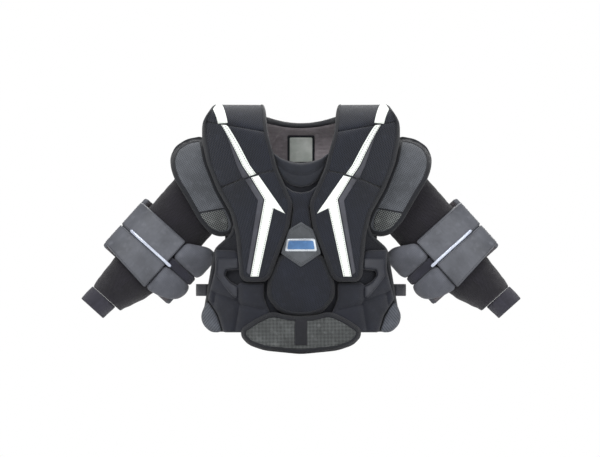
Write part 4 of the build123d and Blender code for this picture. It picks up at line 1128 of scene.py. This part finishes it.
for name, node, points, body, cloth, slot, tall, form in (("upper_panel", "elbow_upper_panel", UPPER_PANEL,
                                                           "left_upper_arm", elbow_leather, "elbow_leather",
                                                           10, (4, 0.65)),
                                                          ("lower_panel", "elbow_lower_panel", LOWER_PANEL,
                                                           "left_forearm", elbow_leather, "elbow_leather",
                                                           10, (4, 0.65)),
                                                          ("upper_lobe", "elbow_upper_lobe", UPPER_LOBE,
                                                           "left_upper_arm", lobe_cloth, "lobe_fabric", 13,
                                                           (18, 0.3)),
                                                          ("lower_lobe", "elbow_lower_lobe", LOWER_LOBE,
                                                           "left_forearm", lobe_cloth, "lobe_fabric", 13,
                                                           (18, 0.3)),
                                                          ("centre_pad", "elbow_centre_pad", CENTRE_PAD,
                                                           "left_upper_arm", lobe_black, "lobe_fabric", 8,
                                                           (5, 0.5))):
    edge = closed_line(wrap_plan(points), (12 if tall == 13 else 3) * MM)
    face = padded_face(edge, -WRAP_T, tall * MM, rim=form[0] * MM, low=form[1])
    panel_faces[name] = face
    sewn_pair(dress(pad(f"left_wrap_{name}", edge, on_wrap, -WRAP_T, face, 3.5 * MM), cloth, grey_lining),
              body, slot, [f"left_{node}"])
    if name.endswith("panel"):
        row = edge + inward(edge) * 3 * MM
        sewn_pair(dress(stitches(f"left_wrap_{name}_stitches", row, on_wrap, face, closed=True,
                                 thick=0.3 * MM), black_thread), body, slot)
bar, _, _ = laid_on("left_reflective_bar", wrap_plan(BAR), on_wrap, panel_faces["upper_panel"], 2.2 * MM,
                    2.8 * MM, 2.5 * MM, 2.2 * MM)
sewn_pair(dress(bar, reflective, reflective), "left_upper_arm", "reflective", ["left_elbow_bar"])
quarter = wrap_half / 2
for name, node, start, end, body in (("upper_band", "elbow_upper_band", 122, 193.7, "left_upper_arm"),
                                     ("lower_band", "elbow_lower_band", 194.3, 250, "left_forearm")):
    near_t, far_t = quarter + 2 * MM, 2 * wrap_half - quarter - 19 * MM
    plan = np.array([(start * MM, near_t), (end * MM, near_t), (end * MM, far_t), (start * MM, far_t)])
    edge = closed_line(plan, 4 * MM)
    face = padded_face(edge, -WRAP_T, WRAP_T, rim=5 * MM, low=0.6)
    sewn_pair(dress(pad(f"left_wrap_{name}", edge, on_wrap, -WRAP_T, face), elbow_leather, grey_lining), body,
              "elbow_leather", [f"left_{node}"])
cup_plan = np.array([(150 * MM, wrap_half - 44 * MM), (238 * MM, wrap_half - 44 * MM),
                     (238 * MM, wrap_half + 44 * MM), (150 * MM, wrap_half + 44 * MM)])
cup_edge = closed_line(cup_plan, 22 * MM)
cup_face = padded_face(cup_edge, 0.4 * MM, 5 * MM, rim=9 * MM, low=0.35, swell=1 * MM, pucker=0, sag=0)
sewn_pair(dress(pad("left_point_cup", cup_edge, on_wrap, 0.4 * MM, cup_face), hard_plastic, hard_plastic),
          "left_upper_arm", "cup_plastic", ["left_elbow_cup"])


# ---- shoulder caps ----
# A curved foam cap in grey embossed cloth floats over the top of each sleeve, bound in black, with a coarse mesh
# patch sewn at its lower end. Its back half is smaller.
CAP_R, CAP_INSIDE = 63 * MM, 51.5 * MM
CAP = [(130.3, -206), (139.8, -180), (166.8, -132), (188.8, -74), (196.8, -28), (228, -34), (250, -48),
       (260, -70), (258, -92), (250, -114), (228, -150), (203, -194), (180, -220), (161, -226), (140, -222)]
CAP_BACK = [(155, -158), (166.8, -132), (188.8, -74), (196.8, -28), (228, -34), (250, -48), (260, -70),
            (258, -92), (250, -114), (228, -150), (222, -158)]
CAP_PATCH = [(156, -173), (204, -182), (180, -211), (157, -216), (146, -212), (147, -190)]


def cap_depth(x, z, radius):
    """How far the cap's dome stands in front of the arm's middle."""
    u = (x - shoulder[0]) * ALONG[0] + (z - shoulder[2]) * ALONG[2]
    v = (x - shoulder[0]) * ACROSS[0] + (z - shoulder[2]) * ACROSS[2]
    past = np.clip(v - 39 * MM, 0, None) ** 2 + np.clip(10 * MM - u, 0, None) ** 2
    return np.sqrt(np.clip(radius ** 2 - past, (0.3 * MM) ** 2, None))


def on_cap(x, z, lift):
    """A place on the front half of the cap, from the front view."""
    return np.column_stack([x, shoulder[1] - cap_depth(x, z, CAP_R) - lift, z])


def behind_cap(x, z, lift):
    """A place on the back half of the cap, from the front view."""
    return np.column_stack([x, shoulder[1] + cap_depth(x, z, CAP_R) + lift, z])


def cap_thick(points):
    """The foam's thickness, between the cap's outer and inner domes."""
    return cap_depth(points[:, 0], points[:, 1], CAP_R) - cap_depth(points[:, 0], points[:, 1], CAP_INSIDE)


def cap_base(points):
    """The lift of the cap's inside, measured from its outer dome."""
    return -cap_thick(points)


cap_cloth = mesh_cloth("grey embossed cloth", (76, 79, 84), (56, 58, 63), 4.2 * MM, 0.5, turn=0.3,
                       stretch=0.8, rough=0.6, bump=0.35 * MM)
coarse_mesh = mesh_cloth("coarse grey mesh", (104, 107, 106), (44, 46, 48), 5.2 * MM, 0.62, turn=0.3,
                         stretch=1.0, bump=0.9 * MM)
for name, points, place, nodes in (("cap_front", CAP, on_cap, ["left_shoulder_cap"]),
                                   ("cap_back", CAP_BACK, behind_cap, ())):
    edge = closed_line(mm(points), 9 * MM)
    face = padded_face(edge, cap_base, cap_thick, rim=8 * MM, low=0.78, pucker=0.2 * MM)
    sewn_pair(dress(pad(f"left_{name}", edge, place, cap_base, face, 3.5 * MM), cap_cloth, vest_cloth),
              "left_cap", "cap_fabric", nodes)
    sewn_pair(dress(tape(f"left_{name}_binding", edge, place, cap_base, face, 7.5 * MM, 1.6 * MM),
                    black_tape), "left_cap", "binding")
    if name == "cap_front":
        patch, _, _ = laid_on("left_cap_mesh_patch", mm(CAP_PATCH), on_cap, face, 1.6 * MM, 6 * MM)
        sewn_pair(dress(patch, coarse_mesh, coarse_mesh), "left_cap", "cap_mesh", ["left_cap_patch"])
        top_line = spaced(mm([(147, -171), (156, -171), (208, -180)]), 3 * MM)
        sewn_pair(dress(tape("left_cap_seam", top_line, on_cap, cap_base, face, 2.6 * MM, 0.9 * MM,
                             closed=False, over=False), black_tape), "left_cap", "binding")


low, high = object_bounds()
{"cad": [list(cad_low), list(cad_high)], "visual": [list(low), list(high)]}
